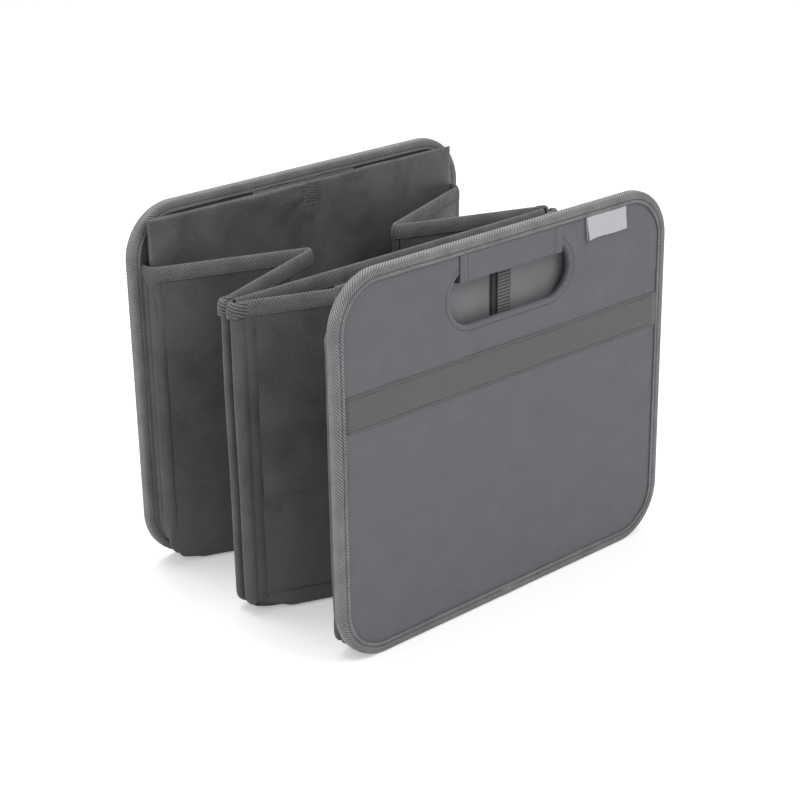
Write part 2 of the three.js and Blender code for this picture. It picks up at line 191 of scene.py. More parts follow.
# %% [markdown]
# ## Helpers for cloth
# Cloth is made as two skins a thread's thickness apart, joined round their edges, so that each
# piece is a closed body. A grid of points gives the outer skin, and the inner skin follows it.
# Each point also keeps its place on the flat cloth, in millimetres, as its UV.

# %% Cloth helpers
MM = 0.001


def unit(value):
    return np.clip(value, 0, 1)


def rounded(share):
    """The rise of a rounded edge, from 0 at the edge to 1 where share reaches 1."""
    return np.sqrt(unit(1 - (1 - unit(share)) ** 2))


def pair(u, v):
    """Two grids of values as one grid of pairs, such as places on the flat cloth."""
    return np.stack(np.broadcast_arrays(u, v), -1)


def skin_normals(points, ring=False):
    down, along = np.gradient(points, axis=0), np.gradient(points, axis=1)
    if ring:
        along = np.roll(points, -1, axis=1) - np.roll(points, 1, axis=1)
    n = np.cross(along, down)
    return n / np.maximum(np.linalg.norm(n, axis=2, keepdims=True), 1e-12)


def shell(name, outer, inner, flat, ring=False, wrap=0.0):
    """Two grids of points, rows by columns, as one closed mesh. flat is each point's place on the cloth."""
    rows, columns = outer.shape[:2]
    count = rows * columns
    index = np.arange(count).reshape(rows, columns)
    nxt = np.roll(index, -1, axis=1)
    last = columns if ring else columns - 1
    a, b = index[:-1, :last], nxt[:-1, :last]
    c, d = nxt[1:, :last], index[1:, :last]
    faces = [np.stack([a, b, c, d], -1).reshape(-1, 4), np.stack([a, d, c, b], -1).reshape(-1, 4) + count]

    def rim(e, f, turned):
        quad = [e, e + count, f + count, f] if turned else [f, f + count, e + count, e]
        faces.append(np.stack(quad, -1))
    rim(index[0, :last], nxt[0, :last], True)
    rim(index[-1, :last], nxt[-1, :last], False)
    if not ring:
        rim(index[:-1, 0], index[1:, 0], False)
        rim(index[:-1, -1], index[1:, -1], True)
    faces = np.concatenate(faces)
    points = np.concatenate([outer.reshape(-1, 3), inner.reshape(-1, 3)]) * MM
    mesh = bpy.data.meshes.new(name)
    mesh.from_pydata(points.tolist(), [], faces.tolist())
    place = np.concatenate([flat.reshape(-1, 2)] * 2)[faces]
    if ring:
        width = place[..., 0].max(axis=1, keepdims=True) - place[..., 0]
        place[..., 0] = np.where(width > wrap / 2, place[..., 0] + wrap, place[..., 0])
    mesh.uv_layers.new(name="cloth").data.foreach_set("uv", place.reshape(-1).astype(np.float32))
    made = bpy.data.objects.new(name, mesh)
    bpy.context.scene.collection.objects.link(made)
    work = bmesh.new()
    work.from_mesh(mesh)
    bmesh.ops.remove_doubles(work, verts=work.verts, dist=2e-6)
    bmesh.ops.dissolve_degenerate(work, edges=work.edges, dist=1e-6)
    bmesh.ops.recalc_face_normals(work, faces=work.faces)
    work.to_mesh(mesh)
    work.free()
    mesh.polygons.foreach_set("use_smooth", [True] * len(mesh.polygons))
    return made


def finish_piece(made, material, nodes=(), body=None):
    made.data.materials.append(material)
    if nodes:
        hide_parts(*nodes)
    if body:
        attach(made, body)
    print(made.name, len(made.data.polygons), "faces")
    return made


def ripple(u, v, size, seed, stretch=1.0):
    """A smooth, seeded unevenness from -1 to 1. Its waves are about size millimetres long."""
    dice = np.random.default_rng(seed)
    total = np.zeros(np.broadcast(u, v).shape)
    for _ in range(7):
        way, start, share = dice.uniform(0, 2 * math.pi), dice.uniform(0, 6.28), dice.uniform(0.6, 1.6)
        wave = 2 * math.pi * share / size
        total += np.sin(wave * (u * math.cos(way) + v * math.sin(way) / stretch) + start)
    return total / 4


def run_along(points):
    return np.concatenate([[0], np.cumsum(np.linalg.norm(np.diff(points, axis=0), axis=1))])


def smooth_line(points, count):
    """Evenly spaced points on a smooth curve through the given ones, and the run at each."""
    p = np.array(points, float)
    p = np.vstack([2 * p[0] - p[1], p, 2 * p[-1] - p[-2]])
    t = np.linspace(0, 1, 24, endpoint=False)[:, None]
    out = []
    for a, b, c, d in zip(p, p[1:], p[2:], p[3:]):
        out.append(0.5 * (2 * b + (c - a) * t + (2 * a - 5 * b + 4 * c - d) * t**2
                          + (3 * b - a - 3 * c + d) * t**3))
    out = np.vstack(out + [p[-2:-1]])
    run = run_along(out)
    at = np.linspace(0, run[-1], count)
    return np.stack([np.interp(at, run, out[:, k]) for k in range(out.shape[1])], -1), at


# %% [markdown]
# ## Melange cover fabric
# The outside of the end panels is a plain weave of mixed grey yarns, backed with foam. The mix
# gives a fine salt and pepper look with no gloss. Real yarns are 0.4 mm apart, too fine for the
# picture, so the mottling is drawn about 1 mm across. Every fabric ends in the same way: two dyes
# mixed by a pattern, a fine relief, and one shader.

# %% Melange cover
def dyed(tree, share, dark, light, relief, finish):
    """The end of each fabric. relief is the height, its strength and its depth in metres."""
    height, strength, depth = relief
    tint = add(tree, "Mix", {0: share, 6: srgb(dark), 7: srgb(light)}, data_type="RGBA")
    bump = add(tree, "Bump", {"Height": height, "Strength": strength, "Distance": depth})
    shader = add(tree, "BsdfPrincipled", {"Base Color": tint.outputs[2], "Normal": bump, **finish})
    add(tree, "OutputMaterial", {0: shader})


def woven(tree, place, scale, distortion, fleck):
    """The height of a plain weave: warp over weft, and each yarn's own unevenness."""
    warp, weft = [add(tree, "TexWave", {"Vector": place, "Scale": scale, "Distortion": distortion},
                      bands_direction=way) for way in "XY"]
    threads = add(tree, "Math", {0: warp.outputs["Fac"], 1: weft.outputs["Fac"]}, operation="MULTIPLY")
    return add(tree, "Math", {0: threads, 1: fleck}, operation="ADD")


melange, tree = new_material("melange_woven_polyester")
place = add(tree, "UVMap", uv_map="cloth")
yarns = add(tree, "Mapping", {"Vector": place, "Scale": (0.75, 1.25, 1)})
fleck = add(tree, "TexNoise", {"Vector": yarns, "Scale": 1.0, "Detail": 2.0, "Roughness": 0.7},
            noise_dimensions="2D")
cloud = add(tree, "TexNoise", {"Vector": place, "Scale": 0.05, "Detail": 4.0, "Roughness": 0.6},
            noise_dimensions="2D")
soft_cloud = add(tree, "Math", {0: cloud, 1: 0.35}, operation="MULTIPLY")
mixed = add(tree, "Math", {0: fleck, 1: soft_cloud}, operation="ADD")
spread = add(tree, "MapRange", {"Value": mixed, 1: 0.3, 2: 1.05})
dyed(tree, spread, "#58585d", "#6f6f74", (woven(tree, place, 0.42, 0.6, fleck), 0.35, 0.00025),
     {"Roughness": 0.92, "Specular IOR Level": 0.3, "Sheen Weight": 0.12, "Sheen Roughness": 0.6})
print("melange ready")

# %% [markdown]
# ## Coated lining fabric
# The walls, the lining and the base boards are a dark polyester with a thin coating on its back.
# It is smooth enough for a soft shine in broad patches, and shows faint rubbed marks. The cloth
# on the walls has painted light from the floor, which makes it paler towards its foot.

# %% Lining
def lining_cloth(name, dark, light, shine, foot=0.0):
    """A coated cloth. foot is the strength of painted light from the floor, which makes it paler towards its
    foot.
    """
    material, tree = new_material(name)
    place = add(tree, "UVMap", uv_map="cloth")
    broad = add(tree, "TexNoise", {"Vector": place, "Scale": 0.03, "Detail": 3.0, "Distortion": 0.6},
                noise_dimensions="2D")
    fine = add(tree, "TexNoise", {"Vector": place, "Scale": 0.9, "Detail": 2.0}, noise_dimensions="2D")
    both = add(tree, "Math", {0: broad, 1: fine}, operation="ADD")
    parts = add(tree, "SeparateXYZ", {0: place})
    # Painted light from the floor: the cloth is paler from 150 mm down to 10 mm, by the share foot.
    painted_floor_light = add(tree, "MapRange", {"Value": parts.outputs[1], 1: 10.0, 2: 150.0, 3: foot, 4: 0.0})
    with_painted_light = add(tree, "Math", {0: both, 1: painted_floor_light}, operation="ADD")
    spread = add(tree, "MapRange", {"Value": with_painted_light, 1: 0.75, 2: 1.25})
    gloss = add(tree, "MapRange", {"Value": broad, 1: 0.3, 2: 0.7, 3: shine + 0.1, 4: shine - 0.06})
    dyed(tree, spread, dark, light, (woven(tree, place, 0.5, 0.4, fine), 0.22, 0.0002),
         {"Roughness": gloss, "Specular IOR Level": 0.4, "Sheen Weight": 0.08})
    return material


lining = lining_cloth("coated_polyester_lining", "#464446", "#545254", 0.56)
# The walls' cloth carries painted light from the floor, paler towards its foot.
wall_lining = lining_cloth("coated_polyester_wall_cloth", "#424042", "#575557", 0.5, 0.45)
board_cloth = lining_cloth("coated_polyester_on_board", "#4c4a4c", "#656365", 0.36)
base_face = lining_cloth("smooth_coated_cloth_on_base_board", "#6f6c6f", "#7a777a", 0.5)
print("linings ready")

# %% [markdown]
# ## Twill tape
# The edges are bound in polyester twill tape. Its diagonal ribs are about 2.4 mm apart along the
# tape. The ribs are modelled in the mesh, and the colour follows them as painted highlight on the
# crowns and painted shade in the gaps. The fold of the tape has a further painted highlight on its
# crowns. The walls' tape is the same tape darkened with painted shade.

# %% Tape materials
RIB = 2.4


def ribbed(tree, place, run, pitch, yarn_scale):
    """Ribs that stand pitch apart along run: their crowns, the yarn's noise, and both together as painted rib
    light and shade.
    """
    count = add(tree, "Math", {0: run, 1: math.pi / pitch}, operation="MULTIPLY")
    wave = add(tree, "Math", {0: count}, operation="SINE")
    crown = add(tree, "Math", {0: wave}, operation="ABSOLUTE")
    yarn = add(tree, "TexNoise", {"Vector": place, "Scale": yarn_scale, "Detail": 2.0}, noise_dimensions="2D")
    return crown, yarn, add(tree, "Math", {0: crown, 1: yarn}, operation="MULTIPLY")


def twill_tape(name, dark, light):
    material, tree = new_material(name)
    place = add(tree, "UVMap", uv_map="cloth")
    parts = add(tree, "SeparateXYZ", {0: place})
    slant = add(tree, "Math", {0: parts.outputs[0], 1: parts.outputs[1]}, operation="ADD")
    crown, yarn, painted_rib_light = ribbed(tree, place, slant, RIB, 1.3)
    worn = add(tree, "TexNoise", {"Vector": place, "Scale": 0.06, "Detail": 2.0}, noise_dimensions="2D")
    faded = add(tree, "Math", {0: worn, 1: 0.3}, operation="MULTIPLY")
    more = add(tree, "Math", {0: painted_rib_light, 1: faded}, operation="ADD")
    # Painted highlight: the rib crowns are lighter along the tape's fold, within 5 mm of the middle of its
    # run.
    middle = add(tree, "Math", {0: parts.outputs[1]}, operation="ABSOLUTE")
    with_painted_light = add(tree, "MapRange", {"Value": middle, 1: 0.0, 2: 5.0, 3: 0.2, 4: 0.0})
    crown_painted_highlight = add(tree, "Math", {0: with_painted_light, 1: crown}, operation="MULTIPLY")
    whole = add(tree, "Math", {0: more, 1: crown_painted_highlight}, operation="ADD")
    spread = add(tree, "MapRange", {"Value": whole, 1: 0.15, 2: 0.85})
    dyed(tree, spread, dark, light, (yarn, 0.3, 0.0003),
         {"Roughness": 0.8, "Specular IOR Level": 0.4, "Sheen Weight": 0.15})
    return material


tape = twill_tape("woven_twill_tape", "#4b4a4c", "#979596")
# The same tape darkened with painted shade, for the walls, the divider and the corner folds.
twill_with_painted_shade = twill_tape("woven_twill_tape_with_painted_shade", "#323132", "#7c7a7a")
print("tapes ready")

# %% [markdown]
# ## Loop tape, satin label, webbing and thread
# The strip across the front is the soft half of a hook-and-loop fastener, so it is matte and
# fuzzy. The label is satin ribbon with a soft gloss. The pull strap is a ribbed webbing, coloured
# with painted highlight and shade along its ribs, and its far leg shows a smooth edge darkened with
# painted shade. The thread nearly matches the cloth, darkened with painted shade of the channels
# it lies in, and the bar tacks are a shade lighter.

# %% Small fabrics
def plain_cloth(name, dark, light, scale, stretch, roughness, sheen, depth):
    material, tree = new_material(name)
    place = add(tree, "UVMap", uv_map="cloth")
    drawn = add(tree, "Mapping", {"Vector": place, "Scale": (scale, scale * stretch, 1)})
    pile = add(tree, "TexNoise", {"Vector": drawn, "Scale": 1.0, "Detail": 3.0, "Roughness": 0.65},
               noise_dimensions="2D")
    spread = add(tree, "MapRange", {"Value": pile, 1: 0.3, 2: 0.7})
    dyed(tree, spread, dark, light, (pile, 0.5, depth),
         {"Roughness": roughness, "Specular IOR Level": 0.3, "Sheen Weight": sheen})
    return material


loop_tape = plain_cloth("napped_loop_tape", "#565556", "#686768", 0.9, 1.0, 0.96, 0.2, 0.0005)
satin = plain_cloth("satin_label_ribbon", "#adabb1", "#c3c1c7", 0.8, 3.0, 0.5, 0.1, 0.0001)
# The thread nearly matches the cloth, darkened with painted shade of the channels it lies in.
thread_with_painted_shade = plain_cloth("spun_polyester_thread_with_painted_shade", "#434245", "#5c5b5e", 2.0, 1.0, 0.75, 0.1, 0.0001)
pale_thread = plain_cloth("spun_polyester_bar_tack_thread", "#5a585a", "#7c7a7c", 2.0, 1.0, 0.6, 0.1, 0.0001)
# The far leg's edge: webbing darkened with painted shade.
webbing_with_painted_shade = plain_cloth("webbing_edge_with_painted_shade", "#252426", "#3a383a", 1.2, 1.0, 0.85, 0.0, 0.0001)

WEBBING_RIB = 2.4
webbing, tree = new_material("ribbed_polyester_webbing")
place = add(tree, "UVMap", uv_map="cloth")
parts = add(tree, "SeparateXYZ", {0: place})
_, yarn, painted_rib_light = ribbed(tree, place, parts.outputs[1], WEBBING_RIB, 1.1)
# The webbing's colour follows its ribs: painted highlight on the crowns, painted shade between them.
spread = add(tree, "MapRange", {"Value": painted_rib_light, 1: 0.08, 2: 0.55})
dyed(tree, spread, "#343336", "#6e6d70", (yarn, 0.3, 0.0003), {"Roughness": 0.8})
print("small fabrics ready")

# %% [markdown]
# ## Stiffener board
# The boards inside the panels and leaves are grey pressed board. They are the CAD's own solids,
# and get a fibrous material, dyed dark like the cloth over them.

# %% Board material
pressed_board, tree = new_material("pressed_grey_board")
place = add(tree, "TexCoord")
fibre = add(tree, "TexNoise", {"Vector": place.outputs["Object"], "Scale": 220.0, "Detail": 4.0})
dyed(tree, fibre, "#454343", "#5b5857", (fibre, 0.3, 0.0002), {"Roughness": 0.9})
for name, found in frame["nodes"].items():
    if name.endswith("_board"):
        found.data.materials.clear()
        found.data.materials.append(pressed_board)
print("boards dressed")

# %% [markdown]
# ## Where the panels are
# Both end panels are a rounded rectangle, and everything on them is placed by its distance from
# the outer face. One function turns a place on a panel into a point in the row frame, and one
# walks round the panel's edge: four corner circles, with straight runs between them.

# %% Panel helpers
low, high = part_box("front_panel_binding")
HALF = -low.y / MM
WIDE = (high.x - low.x) / MM
TALL = high.z / MM
CORNER = 40.0
_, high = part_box("front_loop_strip")
TAPE_LEG = WIDE / 2 - high.x / MM - 0.3
print("panel", round(WIDE, 1), "by", round(TALL, 1), "outer faces at", round(HALF, 2))
print("tape leg", round(TAPE_LEG, 1))


def on_panel(side, x, z, depth):
    x, z, depth = np.broadcast_arrays(x, z, depth)
    return np.stack([x, side * (HALF - depth), z], -1)


def round_outline(u, inset):
    """A point of the panel's edge at run u from the bottom's middle, taken in by inset, and the way out."""
    flat_x, flat_z, arc = WIDE / 2 - CORNER, TALL - 2 * CORNER, CORNER * math.pi / 2
    marks = np.cumsum([0, flat_x, arc, flat_z, arc, 2 * flat_x, arc, flat_z, arc, flat_x])
    u = np.mod(u, marks[-1])
    angle = np.interp(u, marks, np.radians([-90, -90, 0, 0, 90, 90, 180, 180, 270, 270]))
    x = np.interp(u, marks, flat_x * np.array([0, 1, 1, 1, 1, -1, -1, -1, -1, 0]))
    z = np.interp(u, marks, CORNER + flat_z * np.array([0, 0, 0, 1, 1, 1, 1, 0, 0, 0]))
    nx, nz = np.cos(angle), np.sin(angle)
    return x + nx * (CORNER - inset), z + nz * (CORNER - inset), nx, nz


ROUND = 8 * (WIDE / 2 - CORNER) / 2 + 2 * (TALL - 2 * CORNER) + 2 * math.pi * CORNER
print("the panel's edge is", round(ROUND), "mm round")

# %% [markdown]
# ## Stitches
# Every seam is a row of lockstitches, each a short swell of thread that dips into the cloth at
# both ends. One stitch is made from a small sphere, stretched along the seam and squared off a
# little, and then copied along a path.

# %% One stitch, and rows of it
bpy.ops.object.select_all(action="DESELECT")
bpy.ops.mesh.primitive_uv_sphere_add(segments=6, ring_count=5, radius=1, rotation=(0, math.pi / 2, 0))
stitch = bpy.context.object
bpy.ops.object.transform_apply(location=False, rotation=True, scale=False)
bpy.ops.object.mode_set(mode="EDIT")
bpy.ops.mesh.select_all(action="DESELECT")
bpy.ops.object.mode_set(mode="OBJECT")
for v in stitch.data.vertices:
    v.select = 0.2 < abs(v.co.x) < 0.95
for face in stitch.data.polygons:
    face.select = all(stitch.data.vertices[i].select for i in face.vertices)
bpy.ops.object.mode_set(mode="EDIT")
bpy.ops.transform.resize(value=(1.25, 1.1, 1.1))
bpy.ops.mesh.select_all(action="SELECT")
bpy.ops.transform.resize(value=(1.0, 0.26, 0.2))
bpy.ops.object.mode_set(mode="OBJECT")
STITCH_POINTS = np.array([v.co for v in stitch.data.vertices])
STITCH_FACES = [list(f.vertices) for f in stitch.data.polygons]
bpy.data.objects.remove(stitch)
print("one stitch has", len(STITCH_FACES), "faces")


def stitches(name, path, facing, pitch, across=1.0):
    """A row of stitches along a path of points, in millimetres. facing is the way out of the cloth."""
    path = np.asarray(path, float)
    run = run_along(path)
    at = np.arange(pitch / 2, run[-1], pitch)

    def along(values, where):
        return np.stack([np.interp(where, run, values[:, k]) for k in range(3)], -1)
    t = along(path, np.minimum(at + 0.6, run[-1])) - along(path, np.maximum(at - 0.6, 0))
    t /= np.linalg.norm(t, axis=1, keepdims=True)
    n = along(np.broadcast_to(facing, path.shape), at)
    n = n - t * np.sum(n * t, axis=1, keepdims=True)
    n /= np.linalg.norm(n, axis=1, keepdims=True)
    b = np.cross(n, t)
    p = STITCH_POINTS[None]
    points = along(path, at)[:, None] + t[:, None] * p[..., :1] * pitch * 0.4
    points = points + b[:, None] * p[..., 1:2] * across + n[:, None] * p[..., 2:3]
    count = len(STITCH_POINTS)
    faces = [[i + k * count for i in face] for k in range(len(at)) for face in STITCH_FACES]
    mesh = bpy.data.meshes.new(name)
    mesh.from_pydata((points.reshape(-1, 3) * MM).tolist(), [], faces)
    place = (pair(at[:, None], 0) + STITCH_POINTS[None, :, :2]).reshape(-1, 2)
    corner = np.array([l.vertex_index for l in mesh.loops])
    mesh.uv_layers.new(name="cloth").data.foreach_set("uv", place[corner].reshape(-1).astype(np.float32))
    mesh.polygons.foreach_set("use_smooth", [True] * len(mesh.polygons))
    made = bpy.data.objects.new(name, mesh)
    bpy.context.scene.collection.objects.link(made)
    return made


def sew(name, path, facing, pitch, body, yarn=thread_with_painted_shade, across=1.0):
    """A finished row of stitches that rides on a body."""
    return finish_piece(stitches(name, path, facing, pitch, across), yarn, [], body)


# %% [markdown]
# ## Binding tape round each panel
# A folded tape is sewn over the panel's edge. It is made as the tape's folded section, swept
# round the panel. The columns of the mesh lean with the ribs, so each rib stands along a line of
# points and needs few of them. The tape's two ends overlap at the middle of the bottom.

# %% Bindings
def tape_section(legs, half, nose, pinch=False):
    """The outside of a tape folded over an edge: across, in from the edge, and run from its middle.
    All are in millimetres. legs are the heights of the rows on each leg."""
    leg = np.array(legs, float)
    if pinch:
        t = np.linspace(1, -1, 11)[1:-1]
        nose_across, nose_in = half * np.sign(t) * np.abs(t) ** 0.8, nose * np.abs(t) ** 1.6
    else:
        angle = np.linspace(0, math.pi, 9)[1:-1]
        nose_across = half * np.sign(np.cos(angle)) * np.abs(np.cos(angle)) ** 0.6
        nose_in = nose - nose * np.sin(angle) ** 0.6
    across = np.concatenate([np.full(len(leg), half), nose_across, np.full(len(leg), -half)])
    inward = np.concatenate([leg, nose_in, leg[::-1]])
    run = run_along(pair(across, inward))
    return across, inward, run - run[-1] / 2


def section_out(across, inward, run, half):
    """The way out of the folded tape at each row, as two columns: across, and in from the edge."""
    out_a, out_i = -np.gradient(inward, run), np.gradient(across, run)
    flip = np.sign(across * out_a - (half - inward).clip(0) * out_i + 1e-9)
    size = np.hypot(out_a, out_i)
    return (out_a / size * flip)[:, None], (out_i / size * flip)[:, None]


def rib_height(run):
    return np.abs(np.sin(math.pi * run / RIB)) ** 0.8


def stitch_inset(u):
    """How far in from the panel's edge the tape is stitched. The line wanders a little."""
    return TAPE_LEG - 2.7 + 0.25 * ripple(u, 0 * u, 90, 5)


def make_binding(name, side):
    half = 4.0
    legs = TAPE_LEG - np.array([0, 0.45, 0.9, 1.4, 1.9, 2.4, 2.9, 3.4, 4.2, 5.5])
    across, inward, run = tape_section(legs, half, 3.0)
    out_a, out_i = section_out(across, inward, run, half)
    ribs = round(ROUND / RIB)
    phase = np.arange(ribs * 4) / 4 * (ROUND / ribs)
    u = phase[None, :] - run[:, None]
    spread = np.mod(u + ROUND / 2, ROUND) - ROUND / 2
    lap = unit((spread + 9) / 0.5) * unit((9 - spread) / 9) ** 0.5
    lap = lap * 0.45 * np.clip(inward[:, None] / 2.5, 0.1, 1)
    relief = 0.24 + 0.16 * np.exp(-((np.abs(run) - 3.5).clip(0) / 3.0) ** 2)[:, None]
    lift = relief * rib_height(phase[None, :] * ribs * RIB / ROUND) - relief + lap
    lift = lift - 0.4 * np.exp(-((inward[:, None] - stitch_inset(u)) / 0.55) ** 2)
    wander = 0.25 * ripple(u, 0 * u, 60, 3 + side) * (inward[:, None] > TAPE_LEG - 1)

    def skin(rise):
        x, z, _, _ = round_outline(u, inward[:, None] + out_i * rise + wander)
        return on_panel(side, x, z, half - across[:, None] - out_a * rise)
    flat = pair(u * ribs * RIB / ROUND, run[:, None])
    made = shell(f"{name}_panel_tape", skin(lift), skin(-0.95 + 0 * lift), flat, ring=True, wrap=ribs * RIB)
    return finish_piece(made, tape, [f"{name}_panel_binding"], f"{name}_panel")


for name, side in (("front", -1), ("back", 1)):
    make_binding(name, side)

# %% [markdown]
# ## Panel covers with a turned-in handle hole
# The cover and the lining are sewn together round the handle hole, so the hole's edge is a soft
# roll. Each is made of rings of points that run from inside the hole to under the tape. A
# stitched line 3.5 mm from the hole pulls a shallow groove, and the cloth puckers a little there.

# %% Covers and linings
HOLE_HALF, HOLE_TOP, HOLE_TALL = 58.0, TALL - 19.0, 41.0
ROLL_RINGS = np.array([                         # distance out from the hole, and drop below the face
    (0.1, 2.9), (-0.35, 2.2), (-0.35, 1.4), (0.0, 0.6), (0.6, 0.12), (1.5, -0.1), (2.5, -0.08),
    (3.05, 0.15), (3.5, 0.5), (3.95, 0.15), (4.6, -0.08), (6.5, -0.12), (9.5, -0.08)])
FACE_RINGS = np.array([0.05, 0.12, 0.2, 0.3, 0.4, 0.5, 0.6, 0.7, 0.78, 0.85, 0.9, 0.94, 0.965, 0.985, 1.0])


def hole_outline(share, out):
    """A point of the handle hole's edge, moved outwards. share runs once round from the bottom's middle."""
    r = HOLE_TALL / 2
    straight = HOLE_HALF - r
    marks = np.cumsum([0, straight, math.pi * r, 2 * straight, math.pi * r, straight])
    u = share * marks[-1]
    angle = np.interp(u, marks, np.radians([-90, -90, 90, 90, 270, 270]))
    x = np.interp(u, marks, straight * np.array([0, 1, 1, -1, -1, 0]))
    return x + (r + out) * np.cos(angle), HOLE_TOP - r + (r + out) * np.sin(angle)


def make_face(name, side, piece, face, inward, material, node):
    """Rings of cloth from the hole's roll out to the tape. face is its depth, inward is 1 or -1."""
    share = np.arange(440)[None] / 440
    hole_x, hole_z = hole_outline(share, ROLL_RINGS[:, :1])
    edge_x, edge_z, _, _ = round_outline(share * ROUND, 3.0)
    step = FACE_RINGS[:, None]
    x = np.vstack([hole_x, hole_x[-1] + (edge_x - hole_x[-1]) * step])
    z = np.vstack([hole_z, hole_z[-1] + (edge_z - hole_z[-1]) * step])
    drop = np.vstack([ROLL_RINGS[:, 1:], 0.35 * ((step - 0.94) / 0.06).clip(0) ** 2])
    edge = np.minimum(WIDE / 2 - np.abs(x), np.minimum(z, TALL - z))
    ring = np.arange(len(x))[:, None]
    near_tape = np.exp(-((edge - TAPE_LEG - 1) / 7) ** 2)
    near_hole = np.exp(-ring / 9.0) * (ring > 5)
    wave = 0.16 * ripple(x, z, 90, 21 + side) + 0.14 * near_tape * ripple(x, z, 16, 22 + side)
    wave = wave + 0.12 * near_hole * ripple(x, z, 9, 23)
    outer = on_panel(side, x, z, face + inward * (drop + wave * (ring > 4)))
    n = skin_normals(outer, ring=True)
    toward = np.sign((n[20, 100, 1]) * side) * inward
    made = shell(f"{name}_{piece}", outer, outer - n * 0.6 * toward, pair(x, z), ring=True)
    return finish_piece(made, material, [node], f"{name}_panel")


for name, side in (("front", -1), ("back", 1)):
    make_face(name, side, "panel_cover_cloth", 1.25, 1, melange, f"{name}_panel_cover")
    make_face(name, side, "panel_lining_cloth", 6.75, -1, lining, f"{name}_panel_lining")

# %% [markdown]
# ## Grip wraps
# A strip of the cover fabric folds round the upper edge of the hole as a grip. Its two side edges
# are turned in, which makes a band 8 mm wide that stands a little higher, with a stitched line.

# %% Grip wraps
def make_grip(name, side):
    edges = [-49, -48.8, -48.2, -46.5, -44.5, -42.6, -42.0, -41.4, -40.9, -40.4, -38]
    x = np.array(edges + list(np.linspace(-34, 34, 18)) + [-e for e in edges[::-1]], float)
    _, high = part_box(f"{name}_grip_wrap")
    half = 3.9
    across, inward, run = tape_section(np.linspace(high.z / MM - 246.2, 3.6, 9), half, 3.6)
    out_a, out_i = section_out(across, inward, run, half)
    hem = np.interp(np.abs(x), [40.4, 40.9, 41.4, 42.0, 42.6, 44.5, 46.5, 48.2, 48.8, 49],
                    [0, 0.28, 0.25, -0.05, 0.25, 0.45, 0.45, 0.4, 0.2, -0.1])
    grid_x, grid_v = np.meshgrid(x, run)
    rise = hem[None, :] + 0.12 * ripple(grid_x, grid_v, 14, 31) - 0.1

    def skin(extra):
        a = across[:, None] + out_a * (rise + extra)
        height = 246.1 + inward[:, None] + out_i * (rise + extra)
        return on_panel(side, grid_x, height, 4.0 - a)
    made = shell(f"{name}_grip_cloth", skin(0), skin(-0.7), pair(grid_x, grid_v))
    return finish_piece(made, melange, [f"{name}_grip_wrap"], f"{name}_panel")


for name, side in (("front", -1), ("back", 1)):
    make_grip(name, side)

# %% [markdown]
# ## The loop strip
# The fastener strip is 25.5 mm wide and runs from tape to tape. It starts as a plane, is cut
# across in edit mode, pulled up to its thickness, and its long edges are pressed in where the
# stitches hold them.

# %% Loop strip
low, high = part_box("front_loop_strip")
middle = ((low.x + high.x) / 2, low.y + 0.0011, (low.z + high.z) / 2)
bpy.ops.object.select_all(action="DESELECT")
bpy.ops.mesh.primitive_plane_add(size=1, location=middle, rotation=(math.pi / 2, 0, 0))
strip = bpy.context.object
strip.name = "front_loop_strip_cloth"
strip.scale = (high.x - low.x, high.z - low.z, 1)
bpy.ops.object.transform_apply(location=True, rotation=True, scale=True)
bpy.ops.object.mode_set(mode="EDIT")
cuts = [((low.x + (high.x - low.x) * k / 60, 0, 0), (1, 0, 0)) for k in range(1, 60)]
cuts += [((0, 0, low.z + z), (0, 0, 1)) for z in (
    0.0006, 0.0014, 0.0019, 0.0024, 0.0032, 0.008, 0.0127, 0.0175, 0.0223, 0.0231, 0.0236, 0.0241, 0.0249)]
for place, way in cuts:
    bpy.ops.mesh.select_all(action="SELECT")
    bpy.ops.mesh.bisect(plane_co=place, plane_no=way)
bpy.ops.mesh.select_all(action="SELECT")
bpy.ops.mesh.extrude_region_move(TRANSFORM_OT_translate={"value": (0, -0.0008, 0)})
bpy.ops.mesh.select_all(action="SELECT")
bpy.ops.mesh.normals_make_consistent(inside=False)
bpy.ops.object.mode_set(mode="OBJECT")
co = np.array([v.co for v in strip.data.vertices]) / MM
front = co[:, 1] < (low.y + 0.0006) / MM
band = np.minimum(co[:, 2] - low.z / MM, high.z / MM - co[:, 2])
press = np.interp(band, [0, 0.6, 1.4, 1.9, 2.4, 3.2, 12], [0.35, 0.05, 0.1, 0.4, 0.1, 0.0, -0.06])
wave = 0.1 * ripple(co[:, 0], co[:, 2], 40, 41) + 0.05 * ripple(co[:, 0], co[:, 2], 9, 42)
co[:, 1] += np.where(front, press + wave, 0)
strip.data.vertices.foreach_set("co", (co * MM).reshape(-1))
uv = strip.data.uv_layers[0] if strip.data.uv_layers else strip.data.uv_layers.new()
uv.name = "cloth"
corner = np.array([l.vertex_index for l in strip.data.loops])
uv.data.foreach_set("uv", co[corner][:, [0, 2]].reshape(-1).astype(np.float32))
strip.data.polygons.foreach_set("use_smooth", [True] * len(strip.data.polygons))
finish_piece(strip, loop_tape, ["front_loop_strip"], "front_panel")

# %% [markdown]
# ## The label tab
# The label is a short loop of satin ribbon, caught under the top tape and folded at the bottom.
# Its left edge has curled away from the panel, which leaves a dark slot. It is left blank.

